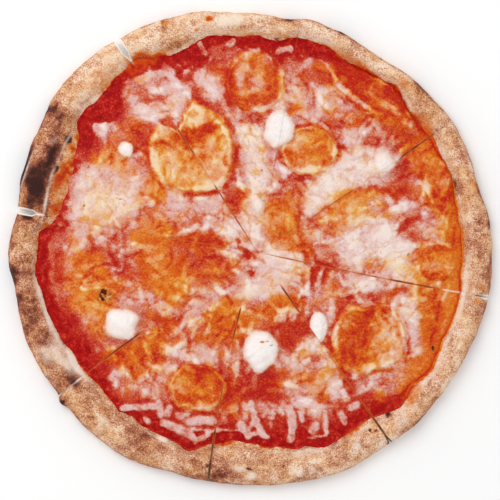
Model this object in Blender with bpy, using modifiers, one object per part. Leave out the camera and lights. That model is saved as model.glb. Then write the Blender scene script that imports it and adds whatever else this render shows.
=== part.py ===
"""A baked cheese pizza, cut from edge to edge into eight slices that still lie together.

Each slice is a wedge of dough with its puffed rim, a layer of tomato sauce and a sheet of melted grated
cheese. Round slices of smoked cheese and dollops of white cheese lie on top, cut where the knife crossed them.
Metres, +Z up. The origin is the middle of the underside, and +Y points away from the front of the pizza.
"""

import math
import random

import bmesh
import bpy
import numpy as np
from mathutils import Matrix

MM = 0.001

# ---- Driving dimensions -------------------------------------------------------------------------------------
OUTER_RADIUS = 160 * MM  # mean radius of the baked pizza
INNER_RADIUS = 140 * MM  # mean radius where the rim meets the topping
DOUGH_THICKNESS = 4.0 * MM  # under the sauce
RIM_HEIGHT = 12.5 * MM  # crest of the rim, between its bubbles
SAUCE_THICKNESS = 1.0 * MM
CHEESE_THICKNESS = 2.2 * MM
ROUND_THICKNESS = 1.5 * MM
ROUND_LIP = 0.8 * MM  # how far a round slice's baked lip stands above its middle
CLEARANCE = 0.3 * MM  # between two layers that touch, and across a cut

TURN_STEPS = 112  # sides of the turned dough, sauce and cheese
ROUND_STEPS = 26
DOLLOP_STEPS = 18

SAUCE_BOTTOM = DOUGH_THICKNESS + CLEARANCE
SAUCE_TOP = SAUCE_BOTTOM + SAUCE_THICKNESS
CHEESE_BOTTOM = SAUCE_TOP + CLEARANCE
CHEESE_TOP = CHEESE_BOTTOM + CHEESE_THICKNESS
TOPPING_BOTTOM = CHEESE_TOP + CLEARANCE

# ---- The uneven hand-stretched outline: (degrees round from +X, mm more or less than the mean radius) -------
OUTER_SWELLS = [
    (6, 1.3), (15, -2.2), (29, -0.6), (42, -2.7), (57, -6.0), (68, -4.0), (75, -2.4), (81, -5.0), (92, -3.0),
    (104, 1.5), (118, 4.2), (131, 5.7), (141, 5.0), (151, 1.2), (162, -0.8), (170, -3.4), (183, 0.8),
    (190, -1.4), (204, 0.7), (216, 0.0), (230, 1.9), (240, 1.6), (252, -2.4), (265, -2.9), (280, -1.3),
    (294, 0.7), (303, -0.3), (314, 1.2), (323, 0.4), (335, 0.8), (347, 2.2),
]
INNER_SWELLS = [
    (0, 2.0), (11, 1.5), (18, 3.0), (24, 2.0), (31, 3.2), (40, 0.7), (48, 5.3), (52, 2.2), (61, 1.3), (72, 4.5),
    (78, 4.0), (82, -0.5), (90, 1.3), (100, 4.0), (110, -0.6), (116, 0.6), (121, 6.5), (126, 5.2), (136, 2.0),
    (141, 3.2), (148, -1.6), (158, -2.6), (171, -3.0), (178, 1.8), (186, 3.3), (196, 1.2), (204, -0.3),
    (212, -3.2), (224, -4.0), (231, -1.4), (235, -3.2), (241, -1.4), (249, -2.0), (253, 1.0), (260, -7.0),
    (267, -8.6), (275, -5.4), (285, -2.7), (292, 1.4), (300, -1.0), (308, 2.4), (315, 5.8), (320, 2.4),
    (326, 5.8), (335, 4.0), (346, 4.0), (354, 2.4),
]
# How far the cheese stops short of the rim, in mm: what shows between them is sauce.
SAUCE_MARGINS = [
    (0, 2), (20, 2), (32, 3), (42, 6), (55, 8), (66, 8), (76, 9), (82, 11), (88, 6), (95, 7), (103, 10), (110, 9),
    (116, 7), (123, 12), (135, 15), (142, 12), (148, 12), (154, 7), (161, 4), (168, 6), (173, 13), (180, 16),
    (187, 13), (196, 10), (207, 12), (214, 12), (221, 8), (228, 9), (236, 4), (248, 5), (262, 4), (272, 6),
    (285, 7), (293, 5), (300, 6), (306, 12), (313, 8), (325, 6), (340, 3), (350, 2),
]
# Bubbles that rose in the rim: (degrees, mm above the crest, half width in degrees).
RIM_BUBBLES = [
    (161, 4.2, 8), (145, 2.2, 6), (184, 1.8, 5), (209, 2.2, 7), (236, 1.6, 6), (262, 1.8, 5), (287, 1.2, 7),
    (113, 2.0, 6), (96, 1.0, 5), (79, 1.8, 4), (67, 1.4, 5), (46, 1.2, 6), (20, 1.4, 7), (352, 1.0, 6),
    (329, 1.4, 8), (308, 1.0, 5), (129, 1.2, 5), (196, 1.0, 4), (225, 0.8, 4),
]
TORN_FLAP = (219.3, 2.6 * MM, 1.5)  # a scrap that the knife pulled out: degrees, how far it sticks out, half width

# ---- The cuts -----------------------------------------------------------------------------------------------
CUT_CENTRE = (5.0 * MM, -2.3 * MM)
CUT_REACH = 1.12 * OUTER_RADIUS  # the cutters run past the rim
CUT_POINTS = 12
# (degrees where it meets the rim, mm that it bows to the left seen from the centre, mm that the rim gapes, mm from
# the centre where the gape begins), counter-clockwise.
CUTS = [
    (32.7, -1.9, 1.0, 148), (78.0, -1.3, 0.5, 145), (122.7, -1.2, 2.6, 138), (170.2, 1.0, 2.8, 139),
    (217.9, -3.0, 1.1, 143), (260.5, -5.0, 0.6, 138), (305.8, 0.3, 1.3, 150), (348.6, -1.2, 1.6, 140),
]

# ---- Toppings -----------------------------------------------------------------------------------------------
# Round slices: name, centre x, y, half width, half depth (mm), turn (degrees), the slices that it lies in, and
# its tear as (degrees, depth as a share of the radius, half width in degrees), or None.
ROUNDS = [
    ("round_1", -39.7, 65.7, 28.0, 28.5, 0, (3, 2), (128, 0.48, 26)),
    ("round_2", 2.3, 113.0, 20.5, 20.0, 0, (2,), None),
    ("round_3", 43.0, 64.6, 17.6, 16.6, 0, (1,), None),
    ("round_4", 80.0, -60.3, 25.0, 23.5, 0, (7,), (60, 0.12, 14)),
    ("round_5", 89.0, 104.3, 37.0, 15.0, -38, (1,), None),
    ("round_6", -33.7, -91.0, 20.0, 18.0, 0, (5, 6), None),
    ("round_7", 21.7, 21.6, 12.5, 12.0, 0, (1,), None),
    ("round_8", 67.0, 25.7, 15.5, 12.5, 30, (8,), None),
    ("round_9", 124.5, -8.0, 13.5, 14.0, 0, (8,), None),
    ("round_10", 118.5, 44.0, 11.0, 20.0, 22, (8,), None),
]
# Dollops of white cheese: name, centre x, y, half width, half depth, height (mm), slices, how square the
# outline is (2 is an ellipse), and how far its front end is drawn out to a point (a share of the half depth).
DOLLOPS = [
    ("dollop_1", 18.6, 80.8, 10.2, 11.4, 5.5, (2, 1), 2.3, 0.0),
    ("dollop_2", -81.7, 66.3, 5.6, 5.6, 3.6, (3,), 2.2, 0.0),
    ("dollop_3", 89.0, 58.0, 8.6, 9.2, 4.2, (1, 8), 2.4, 0.0),
    ("dollop_4", -85.0, -49.7, 11.6, 10.8, 5.8, (4,), 3.2, 0.0),
    ("dollop_5", 7.7, -67.5, 11.6, 12.4, 6.0, (6,), 2.3, 0.28),
    ("dollop_6", 45.6, -51.7, 6.2, 10.8, 4.6, (7,), 2.0, 0.1),
    ("dollop_7", 5.4, 30.0, 3.7, 6.8, 3.0, (2,), 2.0, 0.0),
]
# Strands of grated cheese that kept their shape: centre x, y (mm), degrees, length, width, sideways bend (mm).
STRANDS = [
    (5.6, -115.5, -66, 27, 4.6, -2.2), (-3.4, -119.6, -55, 15, 5.0, 0.5), (2.0, -117.6, 47, 10, 3.6, 0.0),
    (26.4, -116.8, -84, 25, 6.4, 2.6), (33.4, -111.4, -84, 11, 4.6, 0.0), (42.6, -120.8, 48, 11, 5.4, 0.0),
    (50.6, -115.0, -94, 19, 4.2, 0.0), (44.8, -124.6, 8, 12, 2.4, 0.6), (67.4, -104.4, 28, 9, 4.6, 0.0),
    (-73.6, -106.2, -6, 22, 4.6, 1.6), (-47.8, -119.8, -20, 28, 6.0, 1.2), (-59.0, -107.2, -82, 12, 4.6, 0.0),
    (-52.6, -109.4, -66, 9, 3.6, 0.0), (-28.0, -116.0, -14, 23, 6.6, 0.0), (-69.2, -115.0, -38, 8, 4.0, 0.0),
    (-31.6, 133.2, -62, 12, 4.4, 0.4), (-12.0, 138.0, 10, 8, 4.6, 0.0), (23.4, 132.4, 14, 13, 5.4, 0.0),
    (40.4, 127.4, 66, 12, 6.0, 0.0), (-85.0, 101.0, 62, 13, 4.6, 0.8),
    (-95.0, 82.0, 72, 12, 5.0, 0.0), (-121.0, -36.0, 60, 10, 5.0, 0.0), (-128.0, 10.0, 80, 9, 5.0, 0.0),
]
LOOSE_STRANDS = 34  # more of them over the melted sheet, clear of the toppings
STRAND_HEIGHT = 1.5 * MM
STRAND_SEED = 11


def eased(points, degrees):
    """Value at each angle of a ring of (degrees, value) points, joined by half cosine waves."""
    knots = np.array([p[0] for p in points] + [points[0][0] + 360.0])
    values = np.array([p[1] for p in points] + [points[0][1]])
    turned_degrees = (np.asarray(degrees, float) - knots[0]) % 360.0 + knots[0]
    index = np.clip(np.searchsorted(knots, turned_degrees, side="right") - 1, 0, len(points) - 1)
    share = (turned_degrees - knots[index]) / (knots[index + 1] - knots[index])
    blend = 0.5 - 0.5 * np.cos(math.pi * share)
    return values[index] + (values[index + 1] - values[index]) * blend


def bump(degrees, centre, half_width):
    """1 at the centre angle, falling to 0 in a smooth bell about half_width to each side."""
    off = (np.asarray(degrees, float) - centre + 180.0) % 360.0 - 180.0
    return np.exp(-((off / half_width) ** 2))


def rim_outside(degrees):
    """Radius of the outer edge of the dough."""
    flap_angle, flap_reach, flap_width = TORN_FLAP
    swell = OUTER_RADIUS + MM * eased(OUTER_SWELLS, degrees)
    return swell + flap_reach * bump(degrees, flap_angle, flap_width)


def rim_inside(degrees):
    """Radius where the rim meets the topping."""
    return INNER_RADIUS + MM * eased(INNER_SWELLS, degrees)


def cheese_outside(degrees):
    """Radius of the edge of the melted cheese."""
    return rim_inside(degrees) - MM * eased(SAUCE_MARGINS, degrees)


def rim_crest(degrees):
    """How high the rim stands, as a multiple of its plain height."""
    rise = sum(height * bump(degrees, centre, width) for centre, height, width in RIM_BUBBLES)
    return 1.0 + MM * rise / RIM_HEIGHT


# ---- Making and joining meshes --------------------------------------------------------------------------------
def clear_scene():
    for obj in list(bpy.data.objects):
        bpy.data.objects.remove(obj, do_unlink=True)


def new_collection(name, hidden=False):
    collection = bpy.data.collections.new(name)
    collection.hide_render = hidden
    bpy.context.scene.collection.children.link(collection)
    return collection


def food_material(name, colour, roughness, coat=0.0):
    material = bpy.data.materials.new(name)
    material.use_nodes = True
    shader = material.node_tree.nodes["Principled BSDF"]
    shader.inputs["Base Color"].default_value = (*colour, 1.0)
    shader.inputs["Roughness"].default_value = roughness
    shader.inputs["Metallic"].default_value = 0.0
    shader.inputs["Coat Weight"].default_value = coat
    return material


def link(name, mesh, collection, material=None):
    obj = bpy.data.objects.new(name, mesh)
    collection.objects.link(obj)
    if material:
        mesh.materials.clear()
        mesh.materials.append(material)
    return obj


def evaluated_mesh(obj):
    graph = bpy.context.evaluated_depsgraph_get()
    return bpy.data.meshes.new_from_object(obj.evaluated_get(graph))


def turned_mesh(profile, steps):
    """A closed solid: the (radius, height) profile, top centre outwards and back to the bottom centre, turned
    about Z by a Screw modifier."""
    outline = bpy.data.meshes.new("profile")
    outline.from_pydata([(r, 0.0, z) for r, z in profile], [(i, i + 1) for i in range(len(profile) - 1)], [])
    obj = bpy.data.objects.new("profile", outline)
    bpy.context.scene.collection.objects.link(obj)
    screw = obj.modifiers.new("turn", "SCREW")
    screw.steps = steps
    screw.render_steps = steps
    screw.use_merge_vertices = True
    screw.merge_threshold = 0.01 * MM
    mesh = evaluated_mesh(obj)
    bpy.data.objects.remove(obj)
    return mesh


def reshape(mesh, change):
    """Moves every vertex: change(radius, degrees, height) gives its new radius and height, as arrays."""
    points = np.empty(len(mesh.vertices) * 3, np.float32)
    mesh.vertices.foreach_get("co", points)
    points = points.reshape(-1, 3).astype(float)
    radius = np.hypot(points[:, 0], points[:, 1])
    angle = np.arctan2(points[:, 1], points[:, 0])
    radius, height = change(radius, np.degrees(angle), points[:, 2])
    moved = np.column_stack([radius * np.cos(angle), radius * np.sin(angle), height])
    mesh.vertices.foreach_set("co", moved.astype(np.float32).ravel())
    mesh.update()


def combined(name, mesh, other, operation, collection, material=None):
    """A new object: the mesh joined with, or cut to, the other object or collection of objects."""
    obj = link(name, mesh, collection, material)
    boolean = obj.modifiers.new(operation.lower(), "BOOLEAN")
    boolean.operation = operation
    boolean.solver = "EXACT"
    if isinstance(other, bpy.types.Collection):
        boolean.operand_type = "COLLECTION"
        boolean.collection = other
    else:
        boolean.object = other
    result = evaluated_mesh(obj)
    obj.modifiers.clear()
    obj.data = result
    bpy.data.meshes.remove(mesh)
    if material:
        result.materials.clear()
        result.materials.append(material)
    return obj


# ---- The cuts ---------------------------------------------------------------------------------------------------
def cut_line(cut, side):
    """Points along one bank of a cut, from the centre out past the rim. side is 1 for its left bank, -1 right."""
    degrees, bow, gape, gape_from = cut
    centre = np.array(CUT_CENTRE)
    end = CUT_REACH * np.array([math.cos(math.radians(degrees)), math.sin(math.radians(degrees))])
    along = (end - centre) / np.linalg.norm(end - centre)
    left = np.array([-along[1], along[0]])
    share = np.linspace(0.0, 1.0, CUT_POINTS)[:, None]
    line = centre + share * (end - centre) + 4 * bow * MM * share * (1 - share) * left
    reach = np.linalg.norm(line, axis=1)[:, None]
    opening = np.clip((reach - gape_from * MM) / (OUTER_RADIUS - gape_from * MM), 0.0, 1.0)
    half = 0.5 * (CLEARANCE + gape * MM * opening)
    return line + side * half * left


def slice_cutter(index, collection):
    """A tall block over one slice, from the left bank of one cut to the right bank of the next."""
    first = cut_line(CUTS[index], 1)
    second = cut_line(CUTS[(index + 1) % len(CUTS)], -1)
    middle = np.radians((CUTS[index][0] + (CUTS[(index + 1) % len(CUTS)][0] - CUTS[index][0]) % 360 / 2))
    far = 1.3 * CUT_REACH * np.array([[math.cos(middle), math.sin(middle)]])
    tip = 0.5 * (first[:1] + second[:1])
    outline = np.vstack([tip, first[1:], far, second[:0:-1]])
    shape = bmesh.new()
    corners = [shape.verts.new((x, y, -10 * MM)) for x, y in outline]
    floor = shape.faces.new(corners)
    raised = bmesh.ops.extrude_face_region(shape, geom=[floor])
    tops = [v for v in raised["geom"] if isinstance(v, bmesh.types.BMVert)]
    bmesh.ops.translate(shape, verts=tops, vec=(0, 0, 50 * MM))
    bmesh.ops.recalc_face_normals(shape, faces=shape.faces)
    mesh = bpy.data.meshes.new("cutter")
    shape.to_mesh(mesh)
    shape.free()
    cutter = link(f"cutter_{index + 1}", mesh, collection)
    cutter.hide_render = True
    cutter.display_type = "WIRE"
    return cutter


# ---- Dough, sauce and cheese --------------------------------------------------------------------------------------
def rim_slope():
    """(radius, height) points over the rim, from the flat dough out, over the crest and under to the floor."""
    width = OUTER_RADIUS - INNER_RADIUS
    return [
        (INNER_RADIUS - 0.12 * width, DOUGH_THICKNESS),
        (INNER_RADIUS + 0.05 * width, DOUGH_THICKNESS + 3.2 * MM),
        (INNER_RADIUS + 0.22 * width, 0.82 * RIM_HEIGHT),
        (INNER_RADIUS + 0.48 * width, RIM_HEIGHT),
        (INNER_RADIUS + 0.76 * width, 0.88 * RIM_HEIGHT),
        (INNER_RADIUS + 0.94 * width, 0.62 * RIM_HEIGHT),
        (OUTER_RADIUS, 0.34 * RIM_HEIGHT),
        (OUTER_RADIUS - 0.06 * width, 0.12 * RIM_HEIGHT),
        (OUTER_RADIUS - 0.24 * width, 0.0),
    ]


def hand_stretched(radius, degrees, height):
    """Moves the round dough to its uneven outline, and raises the bubbles of the rim."""
    outside, inside = rim_outside(degrees), rim_inside(degrees)
    share = (radius - INNER_RADIUS) / (OUTER_RADIUS - INNER_RADIUS)
    moved = np.where(share < 0, radius * inside / INNER_RADIUS, inside + share * (outside - inside))
    above = np.clip(height - DOUGH_THICKNESS - 2.5 * MM, 0.0, None)
    return moved, height + above * (rim_crest(degrees) - 1.0) * RIM_HEIGHT / (RIM_HEIGHT - DOUGH_THICKNESS)


def dough_mesh():
    flat = [(0.0, DOUGH_THICKNESS), (0.5 * INNER_RADIUS, DOUGH_THICKNESS)]
    mesh = turned_mesh(flat + rim_slope() + [(0.55 * INNER_RADIUS, 0.0), (0.0, 0.0)], TURN_STEPS)
    reshape(mesh, hand_stretched)
    return mesh


def sauce_mesh():
    """A thin even layer that ends at the foot of the rim, its edge leaning with the rim's inner slope."""
    top = [(0.0, SAUCE_TOP), (0.5 * INNER_RADIUS, SAUCE_TOP), (INNER_RADIUS - 1.5 * MM, SAUCE_TOP)]
    foot = INNER_RADIUS - 2.6 * MM
    bottom = [(foot, SAUCE_BOTTOM), (0.5 * INNER_RADIUS, SAUCE_BOTTOM), (0.0, SAUCE_BOTTOM)]
    mesh = turned_mesh(top + bottom, TURN_STEPS)
    reshape(mesh, lambda radius, degrees, height: (radius * rim_inside(degrees) / INNER_RADIUS, height))
    return mesh


def oval(degrees, half_width, half_depth, turn, power=2.0):
    """Radius in each direction of an oval, or of a rounded square where power is over 2."""
    angle = np.radians(np.asarray(degrees, float) - turn)
    terms = np.abs(np.cos(angle) / half_width) ** power + np.abs(np.sin(angle) / half_depth) ** power
    return terms ** (-1.0 / power)


def near_topping(x, y, margin):
    """Whether each point (mm) lies on, or within margin of, a round slice or dollop."""
    x, y = np.asarray(x, float), np.asarray(y, float)
    outlines = [(cx, cy, rx, ry, turn, 2.0) for _, cx, cy, rx, ry, turn, *_ in ROUNDS]
    outlines += [(cx, cy, rx, ry, 0.0, power) for _, cx, cy, rx, ry, _, _, power, _ in DOLLOPS]
    near = np.zeros(x.shape, bool)
    for cx, cy, rx, ry, turn, power in outlines:
        toward = np.degrees(np.arctan2(y - cy, x - cx))
        near |= np.hypot(x - cx, y - cy) < 1.06 * oval(toward, rx, ry, turn, power) + margin
    return near


def cheese_sheet_mesh():
    """The melted sheet: level under the toppings, dipping between them, with a thin uneven edge."""
    edge = INNER_RADIUS
    rings = [0.0, 0.16, 0.33, 0.5, 0.66, 0.8, 0.92]
    top = [(share * edge, CHEESE_TOP) for share in rings]
    lip = [(0.985 * edge, CHEESE_TOP - 0.9 * MM), (edge, CHEESE_BOTTOM + 0.6 * MM)]
    bottom = [(0.99 * edge, CHEESE_BOTTOM), (0.5 * edge, CHEESE_BOTTOM), (0.0, CHEESE_BOTTOM)]
    mesh = turned_mesh(top + lip + bottom, TURN_STEPS)

    def melted(radius, degrees, height):
        moved = radius * cheese_outside(degrees) / INNER_RADIUS
        x, y = moved * np.cos(np.radians(degrees)) / MM, moved * np.sin(np.radians(degrees)) / MM
        wave = 0.5 + 0.5 * np.sin(x / 9.0 + 1.3 * np.sin(y / 14.0)) * np.sin(y / 8.0 + 1.1 * np.sin(x / 12.0))
        bare = ~near_topping(x, y, 4.0)
        on_top = height > CHEESE_TOP - 0.1 * MM
        return moved, height - np.where(on_top & bare, 0.9 * MM * wave, 0.0)

    reshape(mesh, melted)
    return mesh


def strand_mesh(x, y, degrees, length, width, bend):
    """A flat strand, thinned to its ends and bent sideways: a cube cut into steps and moved by a formula."""
    steps = 4
    shape = bmesh.new()
    bmesh.ops.create_cube(shape, size=1.0)
    long_edges = [e for e in shape.edges if abs(e.verts[0].co.x - e.verts[1].co.x) > 0.5]
    bmesh.ops.subdivide_edges(shape, edges=long_edges, cuts=steps - 1, use_grid_fill=True)
    for vert in shape.verts:
        along = 2 * vert.co.x  # -1 to 1 from end to end
        narrowing = 1.0 - 0.38 * along**4
        top = vert.co.z > 0
        vert.co.y = vert.co.y * width * MM * narrowing * (0.72 if top else 1.0) + bend * MM * (1 - along**2)
        vert.co.x *= length * MM
        vert.co.z = CHEESE_BOTTOM if not top else CHEESE_TOP + STRAND_HEIGHT * (0.55 - 0.35 * along**2)
    bmesh.ops.recalc_face_normals(shape, faces=shape.faces)
    mesh = bpy.data.meshes.new("strand")
    shape.to_mesh(mesh)
    shape.free()
    place = Matrix.Translation((x * MM, y * MM, 0.0)) @ Matrix.Rotation(math.radians(degrees), 4, "Z")
    mesh.transform(place)
    return mesh


def strand_points(x, y, degrees, length):
    """Points (mm) from end to end of a strand."""
    along = 0.5 * length * np.linspace(-1.0, 1.0, 5)
    return x + along * math.cos(math.radians(degrees)), y + along * math.sin(math.radians(degrees))


def settled(strand):
    """The strand, slid towards the middle until the sheet carries it and its ends are clear of the rim."""
    x, y, degrees, length, width, bend = strand
    for _ in range(30):
        px, py = strand_points(x, y, degrees, length)
        around = np.degrees(np.arctan2(py, px))
        carried = math.hypot(x, y) * MM < cheese_outside(around[2]) - 3.0 * MM
        clear = np.all(np.hypot(px, py) * MM < rim_inside(around) - (2.0 + 0.5 * width) * MM)
        if carried and clear:
            break
        reach = math.hypot(x, y)
        x, y = x * (reach - 1.0) / reach, y * (reach - 1.0) / reach
    return x, y, degrees, length, width, bend


def lies_clear(strand, others):
    """Whether a strand lies clear of every topping and of the other strands."""
    x, y, degrees, length, width, _ = strand
    px, py = strand_points(x, y, degrees, length)
    if near_topping(px, py, 1.2 + 0.5 * width).any():
        return False
    for other in others:
        ox, oy = strand_points(*other[:4])
        gaps = np.hypot(px[:, None] - ox[None, :], py[:, None] - oy[None, :])
        if gaps.min() < 0.5 * (width + other[4]) + 2.5:
            return False
    return True


def all_strands():
    """The named strands, then seeded ones over the sheet, each kept where it lies clear."""
    found = []
    for strand in map(settled, STRANDS):
        if lies_clear(strand, found):
            found.append(strand)
    draw = random.Random(STRAND_SEED)
    wanted = len(found) + LOOSE_STRANDS
    while len(found) < wanted:
        reach, turn = 118 * math.sqrt(draw.random()), draw.uniform(0, 2 * math.pi)
        size = (draw.uniform(11, 19), draw.uniform(3.4, 4.8), draw.uniform(-2, 2))
        strand = settled((reach * math.cos(turn), reach * math.sin(turn), draw.uniform(0, 180), *size))
        if lies_clear(strand, found):
            found.append(strand)
    return found


def cheese_mesh():
    """The sheet with its strands fused on by one union."""
    strands = new_collection("strands", hidden=True)
    for strand in all_strands():
        link("strand", strand_mesh(*strand), strands)
    whole = combined("cheese", cheese_sheet_mesh(), strands, "UNION", bpy.context.scene.collection)
    for obj in list(strands.objects):
        bpy.data.objects.remove(obj, do_unlink=True)
    bpy.data.collections.remove(strands)
    mesh = whole.data
    bpy.data.objects.remove(whole)
    return mesh


# ---- Toppings -----------------------------------------------------------------------------------------------------
def room_to_rim(cx, cy, degrees):
    """How far a topping at (cx, cy) mm may reach in each direction before it meets the foot of the rim."""
    limit = np.full(len(degrees), np.inf)
    for reach in np.arange(4.0, 60.0, 0.5):
        x = cx + reach * np.cos(np.radians(degrees))
        y = cy + reach * np.sin(np.radians(degrees))
        beyond = np.hypot(x, y) * MM > rim_inside(np.degrees(np.arctan2(y, x))) - 0.8 * MM
        limit = np.where(beyond & np.isinf(limit), reach, limit)
    return limit


def round_mesh(cx, cy, half_width, half_depth, turn, tear):
    """A thin round slice with a raised baked lip, cut short by the rim where it lies against it."""
    low = TOPPING_BOTTOM
    middle = low + ROUND_THICKNESS
    profile = [
        (0.0, middle), (0.45, middle - 0.2 * MM), (0.80, middle), (0.92, middle + ROUND_LIP),
        (1.0, middle + 0.1 * MM), (0.98, low), (0.0, low),
    ]
    mesh = turned_mesh(profile, ROUND_STEPS)

    def shaped(radius, degrees, height):
        reach = oval(degrees, half_width, half_depth, turn)
        wave = 0.02 * np.sin(np.radians(3 * degrees + cx)) + 0.015 * np.sin(np.radians(5 * degrees + cy))
        reach = reach * (1.0 + wave)
        if tear:
            reach = reach * (1.0 - tear[1] * bump(degrees, tear[0], 0.6 * tear[2]))
        reach = np.minimum(reach, room_to_rim(cx, cy, degrees))
        return radius * reach * MM, height

    reshape(mesh, shaped)
    mesh.transform(Matrix.Translation((cx * MM, cy * MM, 0.0)))
    return mesh


def dollop_mesh(cx, cy, half_width, half_depth, tall, power, point):
    """A soft lump: a domed profile turned to the dollop's own outline."""
    low = TOPPING_BOTTOM
    heights = [(0.0, 1.0), (0.42, 0.93), (0.74, 0.72), (0.94, 0.42), (1.0, 0.18), (0.93, 0.0), (0.0, 0.0)]
    mesh = turned_mesh([(share, low + rise * tall * MM) for share, rise in heights], DOLLOP_STEPS)

    def shaped(radius, degrees, height):
        reach = oval(degrees, half_width, half_depth, 0.0, power)
        reach = reach * (1.0 + point * bump(degrees, -95.0, 26.0) + 0.03 * np.sin(np.radians(3 * degrees + cx)))
        return radius * reach * MM, height

    reshape(mesh, shaped)
    mesh.transform(Matrix.Translation((cx * MM, cy * MM, 0.0)))
    return mesh


def cut_topping(name, mesh, slices, cutters, collection, material):
    """The topping as it lies in its slices: trimmed by the cut beside it, or in halves a, b across a cut."""
    for letter, number in zip("ab", slices):
        piece = name if len(slices) == 1 else name + letter
        combined(piece, mesh.copy(), cutters[number - 1], "INTERSECT", collection, material)
    bpy.data.meshes.remove(mesh)


def smooth(collection, sharp_degrees=35.0):
    for obj in collection.objects:
        obj.data.shade_smooth()
        obj.data.set_sharp_from_angle(angle=math.radians(sharp_degrees))


def main():
    clear_scene()
    pizza = new_collection("cheese_pizza")
    helpers = new_collection("cutters", hidden=True)
    cutters = [slice_cutter(index, helpers) for index in range(len(CUTS))]

    layers = {
        "crust": (dough_mesh(), food_material("baked_dough", (0.62, 0.42, 0.26), 0.8)),
        "sauce": (sauce_mesh(), food_material("tomato_sauce", (0.46, 0.02, 0.01), 0.3, coat=0.3)),
        "cheese": (cheese_mesh(), food_material("melted_cheese", (0.80, 0.50, 0.40), 0.4, coat=0.2)),
    }
    for layer, (mesh, material) in layers.items():
        for number, cutter in enumerate(cutters, start=1):
            combined(f"{layer}_{number}", mesh.copy(), cutter, "INTERSECT", pizza, material)
        bpy.data.meshes.remove(mesh)

    smoked = food_material("smoked_cheese", (0.78, 0.38, 0.12), 0.4, coat=0.2)
    for name, cx, cy, half_width, half_depth, turn, slices, tear in ROUNDS:
        mesh = round_mesh(cx, cy, half_width, half_depth, turn, tear)
        cut_topping(name, mesh, slices, cutters, pizza, smoked)

    white = food_material("white_cheese", (0.90, 0.86, 0.82), 0.5)
    for name, cx, cy, half_width, half_depth, tall, slices, power, point in DOLLOPS:
        mesh = dollop_mesh(cx, cy, half_width, half_depth, tall, power, point)
        cut_topping(name, mesh, slices, cutters, pizza, white)
    smooth(pizza)


main()
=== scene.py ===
"""Finishes a cheese pizza that is cut into eight slices: baked dough, tomato sauce, melted grated
cheese, round slices of smoked cheese and dollops of white cheese.

Places on the pizza are in millimetres: +X is right, +Y is away from the front and +Z is up, from the
middle of the underside. Angles are in degrees round from +X. Each slice is a sheet over two parameters:
the way out from where the cuts meet, and the way round from one cut to the next.
"""

import functools
import math

import bpy
import numpy as np
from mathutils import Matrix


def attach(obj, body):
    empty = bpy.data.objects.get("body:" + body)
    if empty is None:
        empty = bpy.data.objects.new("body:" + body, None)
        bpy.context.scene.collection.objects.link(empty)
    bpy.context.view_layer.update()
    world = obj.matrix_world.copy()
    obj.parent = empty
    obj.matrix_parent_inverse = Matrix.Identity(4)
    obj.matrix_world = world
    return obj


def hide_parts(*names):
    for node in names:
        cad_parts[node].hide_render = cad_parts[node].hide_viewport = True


bl_info = {
    "name": "Cheese Pizza",
    "version": (1, 0, 0),
    "blender": (4, 5, 0),
    "location": "View3D > Sidebar > Pizza",
    "description": "Bakes a sliced cheese pizza over its plain solids",
    "category": "Add Mesh",
}

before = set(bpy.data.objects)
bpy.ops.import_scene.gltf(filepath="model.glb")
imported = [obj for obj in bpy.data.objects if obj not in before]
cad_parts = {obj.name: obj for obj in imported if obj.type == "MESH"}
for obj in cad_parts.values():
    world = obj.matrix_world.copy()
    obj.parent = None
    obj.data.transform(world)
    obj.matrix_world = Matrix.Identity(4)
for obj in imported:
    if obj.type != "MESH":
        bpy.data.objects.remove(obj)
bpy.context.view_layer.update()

MM = 0.001
OUTER_RADIUS = 160.0
INNER_RADIUS = 140.0
DOUGH_TOP = 4.0  # under the sauce
RIM_HEIGHT = 12.5
RIM_CREST = 0.48  # where the rim is highest, as a share of its width
WAIST = 4.25  # height of the widest part of the rim
RIM_FOOT = 2.4  # width of the slope at the rim's foot
EDGE_CURL = 5.0  # width over which the underside curls up to the waist
SAUCE_BOTTOM = 4.3
SAUCE_TOP = 5.3
CHEESE_BOTTOM = SAUCE_TOP - 0.9
CHEESE_INSET = 1.2  # between the sheet of cheese and the rim
BED_HEIGHT = 7.2  # of the cheese where it meets a round slice
ROUND_TOP = 8.1
ROUND_BOTTOM = 6.0
DOLLOP_BOTTOM = 5.6
DOLLOP_SKIRT = 1.22  # how far a dollop's thin edge spreads, as a multiple of its outline
STEP = 0.7  # distance between neighbouring points of the fine sheets
GRAIN = 0.5  # and of the painted fields
FIELD_REACH = 166.0  # from the middle to the edge of those fields
UNDERSIDE_STRIDE = 6  # rows of the cheese's upper face to one of its hidden underside
RAY_STEP = 0.5  # first steps outwards where a piece's edge is looked for
RAY_REACH = 60.0
NET_SIZE = 256  # random heights along each side of a net, which then repeats
NET_SHIFT = (77.3, 41.7)  # squares that the pizza's middle lies off a corner of the net
LAYER_FADE = 0.6  # height of a layer of random hills as a share of the layer before
CLOUD_STRETCH = 1.6

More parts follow.
